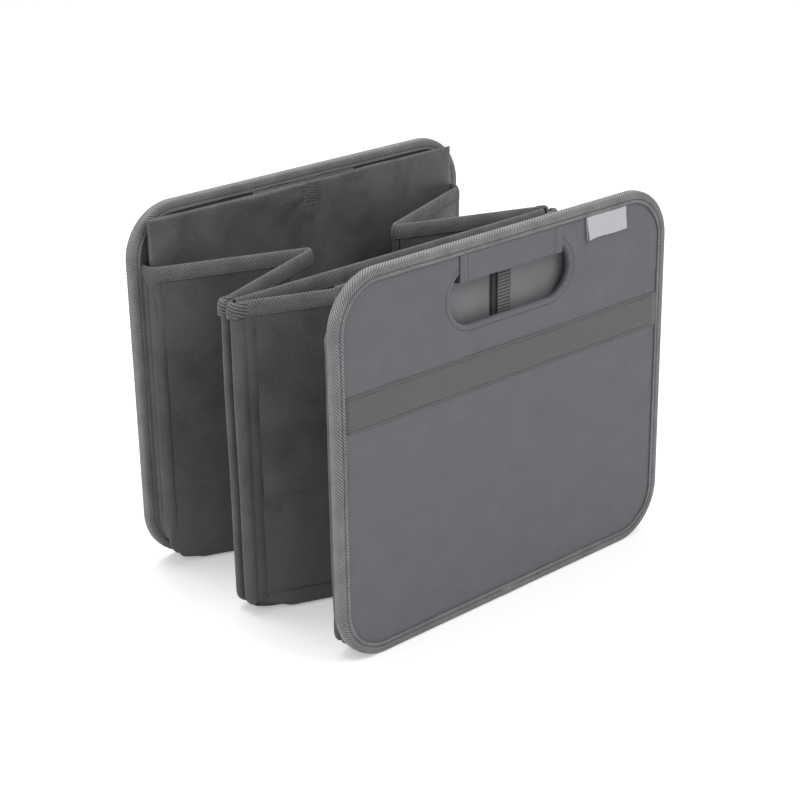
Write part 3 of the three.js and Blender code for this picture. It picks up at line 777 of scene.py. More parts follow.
# %% Label tab
low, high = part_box("front_label_tab")
x = np.linspace(low.x / MM, high.x / MM, 34)
drop = high.z / MM - low.z / MM
leg = np.linspace(0, drop - 0.5, 14)
path = np.concatenate([leg, [drop - 0.15, drop, drop - 0.15], leg[::-1]])
layer = np.concatenate([np.ones(14), [0.85, 0.5, 0.15], np.zeros(14)])
grid_x, grid_s = np.meshgrid(x, path)
grid_l = layer[:, None]
fall = unit(grid_s / drop)
curl = np.exp(-(grid_x - x[0]) / 6.5)
depth = 0.75 - grid_l * (0.35 + 2.7 * curl * (0.25 + 0.75 * fall))
depth = depth - 0.25 * fall * curl - 0.1 * ripple(grid_x, grid_s, 12, 51)
outer = on_panel(-1, grid_x + 1.6 * fall, high.z / MM - grid_s + 0.25 * np.sin(grid_x / 6), depth)
flat = pair(grid_x, np.cumsum(np.abs(np.gradient(grid_s, axis=0)), axis=0))
label = shell("front_label_ribbon", outer, outer + skin_normals(outer) * 0.22, flat)
finish_piece(label, satin, ["front_label_tab"], "front_panel")

# %% [markdown]
# ## Seams on the panels
# The tape is stitched through near its inner edge, on both faces. The cover has a row round the
# handle hole, the grip has one along each turned-in edge, and the loop strip one along each side.

# %% Seams on the panels
u = np.linspace(0, ROUND, 1400)
for name, side in (("front", -1), ("back", 1)):
    body = f"{name}_panel"
    out = np.array([0.0, side, 0.0])
    x, z, _, _ = round_outline(u, stitch_inset(u))
    for face, depth, way in (("outer", 0.12, 1), ("inner", 7.88, -1)):
        sew(f"{name}_tape_{face}_stitches", on_panel(side, x, z, depth), out * way, 3.3, body)
    x, z = hole_outline(np.linspace(0, 1, 500), 3.5)
    sew(f"{name}_hole_stitches", on_panel(side, x, z, 1.68), out, 3.0, body)
    z = np.linspace(247.5, TALL - TAPE_LEG - 0.6, 40)
    for hand_name, x in (("left", -42.0), ("right", 42.0)):
        sew(f"{name}_grip_{hand_name}_stitches", on_panel(side, x, z, 0.2), out, 3.0, body)
low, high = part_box("front_loop_strip")
x = np.linspace(low.x / MM + 2, high.x / MM - 2, 60)
for edge, z in (("lower", low.z / MM + 1.9), ("upper", high.z / MM - 1.9)):
    line = on_panel(-1, x, z, HALF + low.y / MM + 0.55)
    sew(f"front_strip_{edge}_stitches", line, np.array([0.0, -1.0, 0.0]), 3.0, "front_panel")

# %% [markdown]
# ## Base boards and pull straps
# The two base boards stand folded up against the end panels. Each is a board in a sleeve, slack
# enough to show soft creases, and hangs from a strip of cloth at its foot. The sleeve's face
# towards the handle is a smooth coated cloth, a shade lighter. The pull strap is a loop of ribbed
# webbing, sewn to the board above the hole with a box of stitches. Its near leg crosses the hole,
# and an edge of its far leg shows beside it, darkened with painted shade.

# %% Base board covers
BASE_FOOT, BASE_NEAR, BASE_FAR = 24.0, 10.4, 14.0       # lower edge, and the depths of its two faces


def spaced(low, high, steps, inner, count):
    """Places from low to high, close together near both ends."""
    steps = np.array(steps, float)
    return np.concatenate([low + steps, np.linspace(low + inner, high - inner, count), high - steps[::-1]])


def make_base(name, side):
    body = f"{name}_panel"
    _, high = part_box(f"{name}_base_cover")
    half, top = high.x / MM, high.z / MM + 1.5
    tack = top - 11                             # the height of the strap's seam
    grid_x, grid_z = np.meshgrid(spaced(-half, half, [0, 0.3, 1, 2.5], 6, 96),
                                 spaced(BASE_FOOT, top, [0, 0.4, 1.2, 3], 7, 76))
    puff = rounded(np.minimum(np.minimum(half - np.abs(grid_x), top - grid_z), grid_z - BASE_FOOT) / 3.0)
    creases = 1.3 * ripple(grid_x, grid_z, 110, 61 + side, 2.5)
    creases += 0.4 * ripple(grid_x, grid_z, 42, 62 + side, 2.2)
    pull = np.exp(-((grid_x / 34) ** 2 + ((grid_z - tack) / 30) ** 2))
    creases += 0.8 * pull * np.sin(np.arctan2(grid_z - tack, grid_x + 0.01) * 7 + grid_x / 9)
    patch = np.exp(-((np.abs(grid_x) - 7) / 1.5).clip(0) ** 2)
    patch = patch * np.exp(-((np.abs(grid_z - tack) - 8) / 1.5).clip(0) ** 2)
    mid, slim = (BASE_NEAR + BASE_FAR) / 2, (BASE_FAR - BASE_NEAR) / 2 - 0.35
    inner = mid + 0.35 + slim * puff + np.maximum(creases * puff * 0.9, -0.2) - 0.5 * patch
    outer = mid - 0.35 - slim * puff - np.maximum(0.1 * creases * puff, -0.1)
    z = grid_z + 0.5 * ripple(grid_x, 0 * grid_z, 70, 63 + side) * unit((grid_z - top + 12) / 12)
    made = shell(f"{name}_base_cloth", on_panel(side, grid_x, z, inner), on_panel(side, grid_x, z, outer),
                 pair(grid_x, grid_z))
    finish_piece(made, board_cloth, [f"{name}_base_cover"], body)
    made.data.materials.append(base_face)
    for face in made.data.polygons:
        if face.normal.y * side > 0.5:
            face.material_index = 1

    line, run = smooth_line([(7.2, 13.6), (9.0, 13.1), (10.6, 13.6), (11.2, 16), (11.4, 20), (11.6, 26)], 16)
    grid_x, grid_r = np.meshgrid(np.linspace(-120, 120, 90), run)
    depth = line[:, :1] + 0.4 * ripple(grid_x, grid_r, 35, 66) * np.sin(math.pi * grid_r / run[-1])
    z = line[:, 1:]
    flap = shell(f"{name}_base_hinge_cloth", on_panel(side, grid_x, z, depth),
                 on_panel(side, grid_x, z - 0.25, depth + 0.45), pair(grid_x, grid_r))
    finish_piece(flap, lining, [f"{name}_base_cover"], body)

    turns = np.arange(15)                       # a zigzag, then the sides of the box of stitches
    x = np.concatenate([np.where(turns % 2 == 0, -6.0, 6.0), [6, -6, -6]])
    z = np.concatenate([top - 18 + turns * 1.05, [top - 18, top - 18, top - 3.3]])
    path, out = on_panel(side, x, z, BASE_FAR), np.array([0.0, -side, 0.0])
    sew(f"{name}_strap_box_stitches", path, out, 2.2, body, pale_thread, 1.5)


def strap_leg(name, side, middle, half, rest, rib_depth, low, high):
    z = np.linspace(low, high, 300)
    rib = rib_depth * np.abs(np.sin(np.pi * z / WEBBING_RIB)) ** 0.8
    across = half * np.array([-1, -0.97, -0.9, -0.8, -0.7, -0.35, 0, 0.35, 0.7, 0.8, 0.9, 0.97, 1])
    body = np.interp(np.abs(across) / half, [0, 0.7, 0.8, 0.9, 0.97, 1], [0, 0, -0.1, 0.1, -0.1, -0.35])
    grid_x, grid_z = np.meshgrid(middle + across, z)
    wave = 0.25 * ripple(grid_x, grid_z, 60, 64)
    face = on_panel(side, grid_x, grid_z, rest - (rib[:, None] + body[None, :] + wave) - 0.3)
    return shell(name, face, on_panel(side, grid_x, grid_z, rest - wave + 0.3), pair(grid_x, grid_z))


def make_strap(name, side):
    """The loop's near leg, and the edge of its far leg beside it, darkened with painted shade."""
    body, node = f"{name}_panel", f"{name}_pull_strap"
    low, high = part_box(node)
    foot, top = low.z / MM, high.z / MM
    near = strap_leg(f"{name}_strap_webbing", side, 0.2, 6.3, 8.7, 0.4, foot, top)
    finish_piece(near, webbing, [node], body)
    far = strap_leg(f"{name}_strap_far_leg", side, -8.9, 2.6, 9.6, 0.1, foot, top)
    finish_piece(far, webbing_with_painted_shade, [node], body)
    line = on_panel(side, -8.9, np.linspace(foot + 1, top - 1, 40), 9.1)
    sew(f"{name}_strap_edge_stitches", line, np.array([0.0, side, 0.0]), 2.0, body, pale_thread)


for name, side in (("front", -1), ("back", 1)):
    make_base(name, side)
    make_strap(name, side)

# %% [markdown]
# ## The plan of a folding wall
# Seen from above, each wall runs from the panel's hinge along one leaf, turns round the inward
# fold, and comes back along the other leaf to the divider. One function gives the plan for the
# back left wall, and the other three are its mirror images. The hinge places come from the
# frame's own joints.

# %% Wall plan
pivot = {j["name"]: np.array(j["pos_m"][:2]) / MM for j in frame["joints"]}
C, B, A = pivot["back_left_divider_hinge"], pivot["back_left_fold"], pivot["back_left_panel_hinge"]
LEAF, THICK, TURN = 115.0, 5.0, 8.0
FOLD = math.atan2(A[1] - B[1], B[0] - A[0]) - math.atan2(THICK, LEAF)
ALONG_A, OUT_A = np.array([math.cos(FOLD), -math.sin(FOLD)]), np.array([-math.sin(FOLD), -math.cos(FOLD)])
ALONG_C, OUT_C = np.array([math.cos(FOLD), math.sin(FOLD)]), np.array([-math.sin(FOLD), math.cos(FOLD)])
ROW = 2 * LEAF + TURN
WALL_TOP, WALL_LOW = 234.0, 12.0
SIDES = [("back", 1, "left", -1), ("back", 1, "right", 1),
         ("front", -1, "left", -1), ("front", -1, "right", 1)]
print("fold angle", round(math.degrees(FOLD), 2), "wall run", ROW)


def wall_plan(run, out):
    """Plan point of the wall at a run from the panel hinge. out is 0 on the inner face, 5 on the outer."""
    run, out = np.broadcast_arrays(np.asarray(run, float), np.asarray(out, float))
    first = A + run[..., None] * ALONG_A + out[..., None] * OUT_A
    second = C + (ROW - run)[..., None] * ALONG_C + out[..., None] * OUT_C
    angle = FOLD + (run - LEAF) / TURN * (math.pi - 2 * FOLD)
    bend = B + (THICK - out)[..., None] * pair(np.sin(angle), np.cos(angle))
    found = np.where((run < LEAF)[..., None], first, second)
    return np.where(((run >= LEAF) & (run <= LEAF + TURN))[..., None], bend, found)


def placed(side, hand, plan, z):
    """The plan's mirror image for that half and hand, at height z."""
    z = np.broadcast_to(z, plan.shape[:-1])
    return np.stack([plan[..., 0] * (-hand), plan[..., 1] * side, z], -1)


def wall_low(run):
    """The wall's lower edge: it dips at the panel's rounded corner, and is rounded at the divider."""
    s = np.minimum(run, LEAF)
    dip = np.interp(s, [0, 1, 3, 6, 10, 14, 18, 24, 31, 42], [22, 17, 12.5, 9.6, 8.8, 9.2, 10, 11.2, 12, 12])
    e = np.clip(ROW - run, 0, 8)
    return np.where(run < LEAF, dip, WALL_LOW + 8 - np.sqrt(64 - (8 - e) ** 2))


def bodies_of(half, hand_name):
    return f"{half}_{hand_name}_panel_leaf", f"{half}_{hand_name}_divider_leaf"


def bend(made, bodies, side, hand, first, last, z=120.0):
    """Bakes the piece's place into its mesh. The bodies and the two plan points are not used."""
    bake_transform(made)


# %% [markdown]
# ## Wall cloth
# Each leaf is a thin board in a sleeve of lining. The sleeve is slack, so it swells between its
# seams and shows long upright folds. The left walls are one cloth from seam to seam. The right
# walls are open at the fold in the model's linkage, so there the cloth is in two parts that meet at
# the fold.

# %% Walls
FOLD_START, FOLD_END = B + np.array([0, 4.7]), B - np.array([0, 4.7])
FOLD_MIDDLE = LEAF + TURN / 2


def wall_columns(start, stop):
    """The runs of the cloth's columns, close together at its edges and round the fold."""
    def leaf(a, b):
        return np.linspace(a, b, max(2, int(abs(b - a) / 2.4)))
    runs = []
    if start < LEAF:
        runs += [start, start + 0.3, start + 1.0, *leaf(start + 2, LEAF - 1)]
    if start < LEAF + TURN and stop > LEAF:
        runs += list(np.linspace(LEAF, LEAF + TURN, 17)[: None if stop > LEAF + TURN else -1])
    if stop > LEAF + TURN:
        first = max(start, LEAF + TURN + 0.4)
        if start > LEAF:
            runs += [first, first + 0.4]
        runs += [*leaf(first + 1.5, stop - 2), stop - 1.0, stop - 0.3, stop]
    return np.unique(np.round(runs, 4))


def make_wall(name, side, hand, start, stop, seed):
    share = np.concatenate([[0, 0.001, 0.004, 0.009, 0.016, 0.026, 0.04], np.linspace(0.06, 1, 66)])
    grid_r, grid_v = np.meshgrid(wall_columns(start, stop), share)
    low_edge = wall_low(grid_r)
    z = low_edge + (WALL_TOP - 3.2 - low_edge) * grid_v
    rise = z - low_edge
    ends = np.minimum(grid_r - start, stop - grid_r)
    if hand > 0:
        ends = np.where(np.abs(grid_r - FOLD_MIDDLE) < 40, 9.0, ends)
    puff = rounded(rise / 3.5) * rounded(ends / 1.6)
    still = unit((WALL_TOP - 12 - z) / 14) * np.clip(rise / 10, 0.15, 1)
    still *= np.clip((np.abs(grid_r - FOLD_MIDDLE) - 5) / 12, 0.1, 1)
    folds = 0.42 * ripple(grid_r, z, 60, seed, 3.5) + 0.22 * ripple(grid_r, z, 26, seed + 1, 2.2)
    other = 0.42 * ripple(grid_r, z, 64, seed + 2, 3.0) + 0.2 * ripple(grid_r, z, 24, seed + 3, 2.0)
    slim = np.interp(WALL_TOP - z, [3, 5, 7], [0.6, 1.0, 1.0])
    outer_w = 2.5 + (0.35 + 1.4 * puff) * slim + folds * still
    inner_w = 2.5 - (0.35 + 1.4 * puff) * slim - other * still
    outer = placed(side, hand, wall_plan(grid_r, np.minimum(outer_w, 4.75)), z)
    return shell(name, outer, placed(side, hand, wall_plan(grid_r, inner_w), z), pair(grid_r, z))


for k, (half, side, hand_name, hand) in enumerate(SIDES):
    panel_leaf, divider_leaf = bodies_of(half, hand_name)
    nodes = [f"{panel_leaf}_cloth", f"{half}_{hand_name}_fold_cloth", f"{divider_leaf}_cloth"]
    if hand_name == "left":
        wall = make_wall(f"{half}_left_wall_cloth", side, hand, 0.8, ROW - 0.8, 70 + 10 * k)
        finish_piece(wall, wall_lining, nodes)
        bend(wall, (panel_leaf, divider_leaf), side, hand, FOLD_START, FOLD_END)
    else:
        wall = make_wall(f"{half}_right_panel_wall_cloth", side, hand, 0.8, LEAF + TURN, 70 + 10 * k)
        finish_piece(wall, wall_lining, nodes[:2], panel_leaf)
        wall = make_wall(f"{half}_right_divider_wall_cloth", side, hand, LEAF + TURN, ROW - 0.8, 75 + 10 * k)
        finish_piece(wall, wall_lining, nodes[2:], divider_leaf)

# %% [markdown]
# ## Tape on the walls
# The same twill tape, darkened with painted shade, is folded over the top edge of every wall, and
# turns round the fold with it. It is pinched thin along its top, so only the crowns of its ribs
# catch the light there. Its ribs lean with the half and the hand, as each length of tape is sewn on
# from its own end.

# %% Wall tapes
low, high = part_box("back_left_panel_leaf_tape")
LEG = (high.z - low.z) / MM - 0.1
LEG_ROWS = [LEG, LEG - 0.7, LEG - 1.3, LEG - 1.9, LEG - 3.4, 5.0]
TAPE_HALF = 2.4


def tape_along(name, plan, first, last, centre, lean=1.0):
    """A ribbed tape folded over a top edge. plan(run, out) gives the plan, centre is the out value of the
    tape's middle. With a lean of 1 or -1 the columns follow the ribs, with less the rows carry them."""
    across, inward, run = tape_section(LEG_ROWS, TAPE_HALF, 5.0, pinch=True)
    if abs(lean) == 1:
        ends = np.array([first, last])[:, None] * lean + run[None, [0, -1]]
        phases = np.arange(math.floor(ends.min() / RIB) * 4, math.ceil(ends.max() / RIB) * 4 + 1) * RIB / 4
        u = np.clip(lean * (phases[None, :] - run[:, None]), first, last)
    else:
        at = run[0] + (run[-1] - run[0]) * np.linspace(0, 1, int((run[-1] - run[0]) / 0.6))
        across, inward, run = np.interp(at, run, across), np.interp(at, run, inward), at
        u = np.tile(np.linspace(first, last, int((last - first) / 0.8)), (len(run), 1))
    out_a, out_i = section_out(across, inward, run, TAPE_HALF)
    relief = (0.24 + 0.22 * np.exp(-((run / 3) ** 2)))[:, None]
    lift = relief * rib_height(lean * u + run[:, None]) - relief * 0.6
    lift = lift - 0.3 * np.exp(-((inward - LEG + 1.3) / 0.5) ** 2)[:, None]

    def skin(extra):
        point = plan(u, centre + across[:, None] + out_a * (lift + extra))
        return np.dstack([point, WALL_TOP - inward[:, None] - out_i * (lift + extra)])
    return shell(name, skin(0), skin(-0.5), pair(lean * u, run[:, None]))


def wall_tape(name, side, hand, first, last, nodes, body=None, plan=wall_plan):
    """The tape on one stretch of wall, and the two rows of stitches through its legs."""
    def placed_plan(run, out):
        return plan(run, np.minimum(out, 4.9)) * [-hand, side]
    made = tape_along(name, placed_plan, first, last, 2.5, lean=side * hand)
    pieces = [finish_piece(made, twill_with_painted_shade, nodes, body)]
    run = np.linspace(first + 0.5, last - 0.5, max(8, int(last - first)))
    for face, out in (("outer", 4.75), ("inner", 0.25)):
        a, b = placed_plan(run, 0 * run + out), placed_plan(run, 0 * run + 2.5)
        path = np.column_stack([a, 0 * run + WALL_TOP - LEG + 1.3])
        out_way = np.column_stack([a - b, 0 * run])
        pieces.append(sew(f"{name}_{face}_stitches", path, out_way, 3.0, body))
    return pieces


for half, side, hand_name, hand in SIDES:
    panel_leaf, divider_leaf = bodies_of(half, hand_name)
    nodes = [f"{panel_leaf}_tape", f"{divider_leaf}_tape"]
    if hand_name == "left":
        for piece in wall_tape(f"{half}_left_wall_tape", side, hand, 5.0, ROW - 4, nodes):
            bend(piece, (panel_leaf, divider_leaf), side, hand, FOLD_START, FOLD_END)
    else:
        wall_tape(f"{half}_right_panel_wall_tape", side, hand, 5.0, LEAF + TURN, nodes[:1], panel_leaf)
        wall_tape(f"{half}_right_divider_wall_tape", side, hand, LEAF + TURN, ROW - 4, nodes[1:],
                  divider_leaf)

# %% [markdown]
# ## The divider
# The divider is a straight wall of the same make, sewn into the outward folds at its two ends.

# %% Divider
low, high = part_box("divider_cloth")
x = spaced(low.x / MM, high.x / MM, [0, 0.4, 1.2], 3, 110)
z = np.concatenate([[12, 12.2, 12.7, 13.6, 15, 17], np.linspace(20, WALL_TOP - 3.2, 66)])
grid_x, grid_z = np.meshgrid(x, z)
edge = np.minimum(high.x / MM - np.abs(grid_x), grid_z - WALL_LOW)
still = unit((WALL_TOP - 12 - grid_z) / 14) * np.clip(edge / 10, 0.1, 1)
body = (0.35 + 1.4 * rounded(edge / 3)) * np.interp(WALL_TOP - grid_z, [3, 5, 7], [0.6, 1.0, 1.0])
front = -body - still * 0.45 * ripple(grid_x, grid_z, 70, 91, 2.5)
back = body + still * 0.45 * ripple(grid_x, grid_z, 66, 92, 2.5)
divider = shell("divider_sleeve", np.stack([grid_x, back, grid_z], -1), np.stack([grid_x, front, grid_z], -1),
                pair(grid_x, grid_z))
finish_piece(divider, lining, ["divider_cloth"], "divider")


def divider_plan(run, out):
    return pair(run - 150, out)


made = tape_along("divider_top_tape", divider_plan, 0.2, 299.8, 0.0)
finish_piece(made, twill_with_painted_shade, ["divider_tape"], "divider")

# %% [markdown]
# ## Outward folds at the divider
# Where the walls meet the divider, each wall's cloth rolls outwards into a rounded fold and dives
# into a seam groove beside its neighbour. Over it the tape makes a thick round knob. The fold
# reaches from the divider at one edge to the wall at the other.

# %% Corner folds
CLOTH_RIDGE = [(-151.6, 1.2), (-154.4, 1.9), (-156.6, 2.9), (-157.6, 4.5),
               (-157.2, 6.3), (-155.7, 8.2), (-153.2, 9.6), (-150.6, 10.4)]
TAPE_RIDGE = [(-154.0, 0.5), (-157.0, 0.6), (-159.1, 2.4), (-159.7, 4.9),
              (-158.8, 7.5), (-156.4, 9.6), (-153.0, 10.6), (-150.4, 10.9)]


def line_normals(line, run):
    slope = np.gradient(line, run, axis=0)
    return slope[:, ::-1] * [1, -1] / np.linalg.norm(slope, axis=1, keepdims=True)


def off_line(line, run, at, away):
    """Plan points at runs along a line, moved away to its side."""
    n = line_normals(line, run)
    return np.stack([np.interp(at, run, line[:, k]) + np.interp(at, run, n[:, k]) * away for k in (0, 1)], -1)


def ridge_line(points, out, count):
    ends = ((2.5, 0.0), (5.5, 0.0), (8.5, 0.5), (12.0, 2.2))
    return smooth_line(points + [tuple(C + s * ALONG_C + (out - sunk) * OUT_C) for s, sunk in ends], count)


def upright_cloth(name, side, hand, plan, n, wave, thick, flat):
    """A band of cloth that hangs along a plan line, raised by wave along n."""
    skins = [placed(side, hand, plan + n * (wave - deep)[..., None], flat[..., 1]) for deep in (0, thick)]
    return shell(name, *skins, flat)


def corner_cloth(name, side, hand):
    line, run = ridge_line(CLOTH_RIDGE, 5.0, 52)
    share = np.concatenate([[0, 0.0009, 0.003, 0.0065, 0.011, 0.018, 0.026, 0.036],
                            np.linspace(0.052, 1, 70)])
    grid_r, grid_v = np.meshgrid(run, share)
    foot = np.interp(grid_r, [0, 6, 11, 15, run[-1]], [5.6, 4.6, 4.6, 9.0, 13.0])
    grid_z = foot + (WALL_TOP - 7.5 - foot) * grid_v
    round_off = 9 - np.sqrt(81 - (9 - np.clip(grid_z - 5.6, 0, 9)) ** 2)
    far = unit((-148 - line[:, 0]) / 11)
    x = line[:, 0] + round_off * far + 1.1 * far * (1 - grid_z / WALL_TOP)
    loose = np.sin(np.pi * unit(run / run[-1])) * unit((grid_z - 8) / 20)
    seam = 0.3 * np.exp(-((grid_r - 15.0) / 3.0) ** 2) * unit((WALL_TOP - 20 - grid_z) / 20)
    crease = -0.5 * np.exp(-((grid_z - 12 - 1.1 * grid_r) / 1.3) ** 2) * unit((26 - grid_z) / 8)
    wave = 0.35 * ripple(grid_r, grid_z, 50, 101, 3.0) * loose + seam + crease
    return upright_cloth(name, side, hand, pair(x, line[:, 1]), -line_normals(line, run), wave, 0.55,
                         pair(grid_r, grid_z))


def corner_tape(name, side, hand):
    line, run = ridge_line(TAPE_RIDGE, 4.9, 120)
    last = np.linalg.norm(line - (C + 4.0 * ALONG_C + 4.9 * OUT_C), axis=1).argmin()

    def plan(at, out):
        point = off_line(line, run, at, TAPE_HALF - out)
        return pair(point[..., 0] * (-hand), np.maximum(point[..., 1], 0.2) * side)
    return tape_along(name, plan, 0.4, run[last], 0.0, lean=0.35 * side * hand)


for half, side, hand_name, hand in SIDES:
    bodies = ("divider", bodies_of(half, hand_name)[1])
    fold = corner_cloth(f"{half}_{hand_name}_corner_fold_cloth", side, hand)
    finish_piece(fold, wall_lining, [f"{hand_name}_divider_ridge"])
    cap = corner_tape(f"{half}_{hand_name}_corner_tape", side, hand)
    finish_piece(cap, twill_with_painted_shade, [f"{hand_name}_divider_ridge"])
    for made in (fold, cap):
        bend(made, bodies, side, hand, (C[0], 2.5), (C[0], 10.3))

# %% [markdown]
# ## Seam cloth at the end panels
# A narrow band of cloth joins each wall to its end panel, just inside the tape. It follows the
# panel's rounded corner at the bottom, and a stitched channel runs down it. The wall's tape goes on
# over its top up to the panel.

# %% Panel seams
SEAM_STITCH, SEAM_CORNER = 7.2, 31.8            # the channel's run, and the radius at the panel's foot
SEAM_LINE, SEAM_RUN = smooth_line(
    [(-151.8, 105.2), (-152.4, 103.2), (-152.6, 100.2), (-152.3, 97.2), (-151.3, 94.4), (-149.8, 92.4)]
    + [tuple(A + s * ALONG_A + o * OUT_A) for s, o in ((4.0, 4.72), (6.5, 4.6), (9.5, 3.2))], 60)
SEAM_END = SEAM_RUN[-1] - 9.5


def seam_plan(run, out):
    """The plan of the seam between a panel and its wall. run ends at 0, where the wall's own run starts."""
    return off_line(SEAM_LINE, SEAM_RUN, np.clip(run + SEAM_END, 0, SEAM_RUN[-1]), out - 4.72)


def seam_cloth(name, side, hand):
    line, run = SEAM_LINE, SEAM_RUN
    share = np.concatenate([[0, 0.002, 0.005, 0.01, 0.018], np.linspace(0.03, 1, 84)])
    grid_r, grid_v = np.meshgrid(run, share)
    low_edge = np.interp(grid_r, [0, run[-1] - 9.5, run[-1]], [9.5, 9.5, 9.2])
    grid_z = low_edge + (WALL_TOP - 7.5 - low_edge) * grid_v
    drop = np.clip(CORNER - grid_z, 0, CORNER - 8.3)
    curve = SEAM_CORNER - np.sqrt(SEAM_CORNER**2 - drop**2)
    x = line[:, 0] + curve * (0.3 + 0.7 * unit((line[:, 1] - 91) / 14))
    channel = -0.5 * np.exp(-((grid_r - SEAM_STITCH) / 0.6) ** 2)
    for swell in (3.8, 10.4):
        channel = channel + 0.35 * np.exp(-((grid_r - swell) / 1.8) ** 2)
    wave = channel + 0.25 * ripple(grid_r, grid_z, 40, 111, 3.0) * np.sin(np.pi * grid_r / run[-1])
    return upright_cloth(name, side, hand, pair(x, line[:, 1]), line_normals(line, run), wave, 0.5,
                         pair(grid_r, grid_z))


for half, side, hand_name, hand in SIDES:
    name, node = f"{half}_{hand_name}_seam", f"{half}_{hand_name}_seam_strip"
    seam = seam_cloth(f"{name}_cloth", side, hand)
    finish_piece(seam, wall_lining, [node])
    cap = wall_tape(f"{name}_tape", side, hand, -SEAM_END, 5.0, [node], plan=seam_plan)
    plan = np.broadcast_to(seam_plan(SEAM_STITCH - SEAM_END, 4.5), (60, 2))
    line = placed(side, hand, plan, np.linspace(44, WALL_TOP - 13, 60))
    row = sew(f"{name}_stitches", line, np.array([hand * 1.0, 0.0, 0.0]), 3.2, None)
    for made in (seam, row, *cap):
        bend(made, (f"{half}_panel", bodies_of(half, hand_name)[0]), side, hand, (A[0], 103.0), (A[0], 91.0))

# %% [markdown]
# ## Floor cloth
# The floor of each compartment is a loose cloth, sewn to the feet of the walls. With the box
# drawn in, each quarter of it gathers into a fan of upright pleats that starts at a corner
# hinge. The quarter is cut 150 by 115 mm, and its pleats take up the width that the narrow angle
# doesn't need. One edge hangs on the divider or the end panel and the other on the wall's foot,
# where it bellies out a little below the seam. The fan is made in four gores from the corner.

# %% Floor fans
GORES = 4
QUARTER = np.array([150.0, 115.0])
PLEATS, COLUMNS = 13, 8
EASED = 0.326                                   # where a smooth step has climbed to one gore's share
FAN_FOOT = np.array([1.0, -0.6])                # the fan's edge under the divider, from the hinge


def fan_plan(plan, at_panel):
    """The fan is worked out at the divider. At the panel its plan is mirrored."""
    return pair(plan[..., 0], A[1] + C[1] - plan[..., 1]) if at_panel else plan


def fan_reach(angle):
    """How far the cut quarter reaches from its corner at an angle of the flat cloth."""
    return np.minimum(QUARTER[0] / np.cos(angle), QUARTER[1] / np.maximum(np.sin(angle), 1e-6))


def gore_turn(k, at_panel):
    """Two plan points for a gore, which are given to bend."""
    middle, radius = (k + 0.5) / GORES, 110.0
    if k in (0, GORES - 1):
        way = np.array([0.0, 1.0]) if k == 0 else OUT_C
        size = radius * math.sin(FOLD / GORES) / EASED
        base = C + (np.array([60.0, -0.6]) if k == 0 else 60 * ALONG_C + (0.5 - size) * OUT_C)
    else:
        t = np.linspace(0, 1, 200)
        t = np.interp(middle, t * t * (3 - 2 * t), t)
        turn = middle * FOLD
        way = np.array([-math.sin(turn), math.cos(turn)])
        size = radius * FOLD * 6 * t * (1 - t)
        base = C + radius * np.array([math.cos(turn), math.sin(turn)]) - t * size * way
    return fan_plan(base, at_panel), fan_plan(base + size * way, at_panel)


def fan_pleats(share, angle, side, hand, at_panel):
    """The pleated part of the fan: its plan, its heights, and the distance of each point from the hinge."""
    out = np.concatenate([[0.004, 0.012], np.linspace(0.03, 1, 44)])
    grid_r = out[:, None] * (fan_reach(angle) - 1.0)[None, :]
    grid_s = np.broadcast_to(share, grid_r.shape)
    mix = grid_s[..., None]
    turn = pair(np.cos(grid_s * FOLD), np.sin(grid_s * FOLD))
    width = grid_r * FOLD / PLEATS
    past = unit((grid_r - 146) / 8)
    tall = np.minimum(1.75 * width, 9.0 - 5.2 * past)
    wander = 1 + 0.18 * ripple(grid_r, grid_s * 120, 60, 130 + side + 3 * hand + 7 * at_panel)
    pleat = 0.5 - 0.5 * np.cos(grid_s * PLEATS * 2 * math.pi)
    corner_rise = (7.0 if at_panel else 3.5) * np.exp(-grid_r / (14.0 if at_panel else 7.0))
    z = 2.0 + corner_rise + (4.6 * past if hand > 0 else 0.0)
    z = z + tall * unit(pleat) * np.clip(wander, 0.8, 1.15)
    plan = C + grid_r[..., None] * turn + (1 - mix) * FAN_FOOT + mix * OUT_C
    sway = 0.16 * width * ripple(grid_r, grid_s * 90, 45, 140 + side)
    return plan + turn[..., ::-1] * np.array([-1.0, 1.0]) * sway[..., None], z, grid_r


def strip(points, base, way):
    """A band along an edge of the fan, given as distances along way and heights."""
    rows, run = smooth_line(points, 12)
    return base[:, None] + rows[None, :, :1] * way, np.tile(rows[:, 1], (len(base), 1)), run


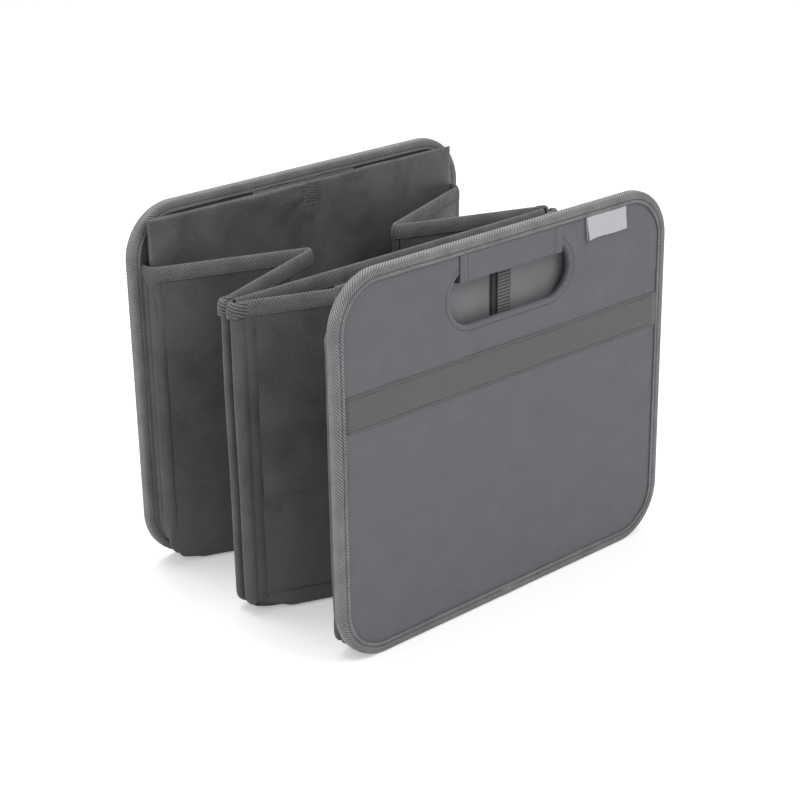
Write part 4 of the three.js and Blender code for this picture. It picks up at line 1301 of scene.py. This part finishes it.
def floor_fan(name, side, hand, at_panel):
    share = np.linspace(0, 1, PLEATS * COLUMNS + 1)
    angle = np.clip(share, 0.001, 0.999) * math.pi / 2
    plan, z, grid_r = fan_pleats(share, angle, side, hand, at_panel)
    edge_r = grid_r[:, -1]
    if at_panel:
        belly = [(-1.2, 2.2), (0.4, 2.4), (1.8, 4.4), (2.8, 7.4), (3.5, 10.6), (4.1, 14.0)]
        hang = [(-8.2, 8.6), (-7.6, 5.6), (-5.0, 3.2), (-2.2, 2.2), (-0.5, 2.0)]
        seam_z = (wall_low(edge_r) + 1.6)[:, None]
    else:
        belly = [(1.2, 3.0), (3.2, 1.9), (5.0, 2.6), (6.1, 5.4), (6.0, 8.8), (5.2, 12.0), (4.3, 14.0)]
        hang = [(-1.3, 17.0), (-1.2, 12.0), (-1.2, 7.0), (-0.9, 3.2), (-0.3, 2.1)]
        seam_z = 13.6
    foot = C + edge_r[:, None] * ALONG_C
    belly, belly_z, belly_run = strip(belly, foot, OUT_C)
    narrow = np.clip((edge_r - 3) / 24, 0.02, 1)[:, None]
    belly = foot[:, None] + (belly - foot[:, None]) * (0.55 + 0.45 * narrow[..., None])
    belly_z = seam_z - (14.0 - belly_z) * (0.4 + 0.6 * narrow) * np.minimum(seam_z - 1.9, 11.6) / 11.6
    flap, flap_z, flap_run = strip(hang, C + FAN_FOOT + pair(grid_r[:, 0], 0), np.array([0.0, 1.0]))
    lift_up = np.interp(edge_r, [0, 12, 30], [5.0, 2.0, 0.0])[:, None]
    z = np.hstack([flap_z + lift_up * (flap_z < 10), z, belly_z])
    flat_x = np.hstack([0 * flap_z + grid_r[:, :1], grid_r * np.cos(angle), 0 * belly_z])
    flat_y = np.hstack([0 * flap_z + flap_run - flap_run[-1], grid_r * np.sin(angle),
                        0 * belly_z + belly_run])
    plan = fan_plan(np.concatenate([flap, plan, belly], axis=1), at_panel)
    if at_panel:                                # keep it inside the panel's rounded corner
        round_half = WIDE / 2 - CORNER + np.sqrt((CORNER**2 - (CORNER - z) ** 2).clip(0)) - 9.0
        near_panel = unit((plan[..., 1] - 84) / 16)
        limit = np.minimum(round_half, 152) * near_panel + 152 * (1 - near_panel)
        plan = pair(np.maximum(plan[..., 0], -limit), plan[..., 1])
    top = placed(side, hand, plan, z)
    n = skin_normals(top)
    n *= np.sign(np.median(n[..., 2])) * 0.2

    seams = [0, *(flap.shape[1] + k * PLEATS * COLUMNS // GORES for k in range(1, GORES)), plan.shape[1] - 1]
    hems = {0: flap_run[-1] * QUARTER[0], GORES - 1: belly_run[-1] * QUARTER[1]}
    made = []
    for k in range(GORES):
        cut = slice(seams[k], seams[k + 1] + 1)
        gore = shell(f"{name}_gore_{k + 1}", (top + n)[:, cut], (top - n)[:, cut],
                     pair(flat_x, flat_y)[:, cut])
        ends = np.array([k, k + 1]) / GORES * math.pi / 2
        radii = fan_reach(np.linspace(*ends, 60))
        area = float(np.mean(radii**2)) / 2 * float(ends[1] - ends[0]) * MM**2 + hems.get(k, 0.0) * MM**2
        length = float(radii.max()) * MM
        print(gore.name, "mesh to cut area", round(sum(f.area for f in gore.data.polygons) / 2 / area, 2))
        made.append((gore, (2 * area / length, length), area))
    return made


for half, side, hand_name, hand in SIDES:
    panel_leaf, divider_leaf = bodies_of(half, hand_name)
    edges = ((0, "divider", "divider", divider_leaf, "divider_cloth"),
             (1, "panel", f"{half}_panel", panel_leaf, f"{half}_panel_lining"))
    for at_panel, edge_name, body, leaf, above in edges:
        gores = floor_fan(f"{half}_{hand_name}_floor_{edge_name}_fan", side, hand, at_panel)
        for k, (gore, flat, area) in enumerate(gores):
            finish_piece(gore, wall_lining, [f"{half}_floor_cloth"])
            bend(gore, (body, leaf), side, hand, *gore_turn(k, at_panel), z=6.0)

# %% The sizes of the finished object
low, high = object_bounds()
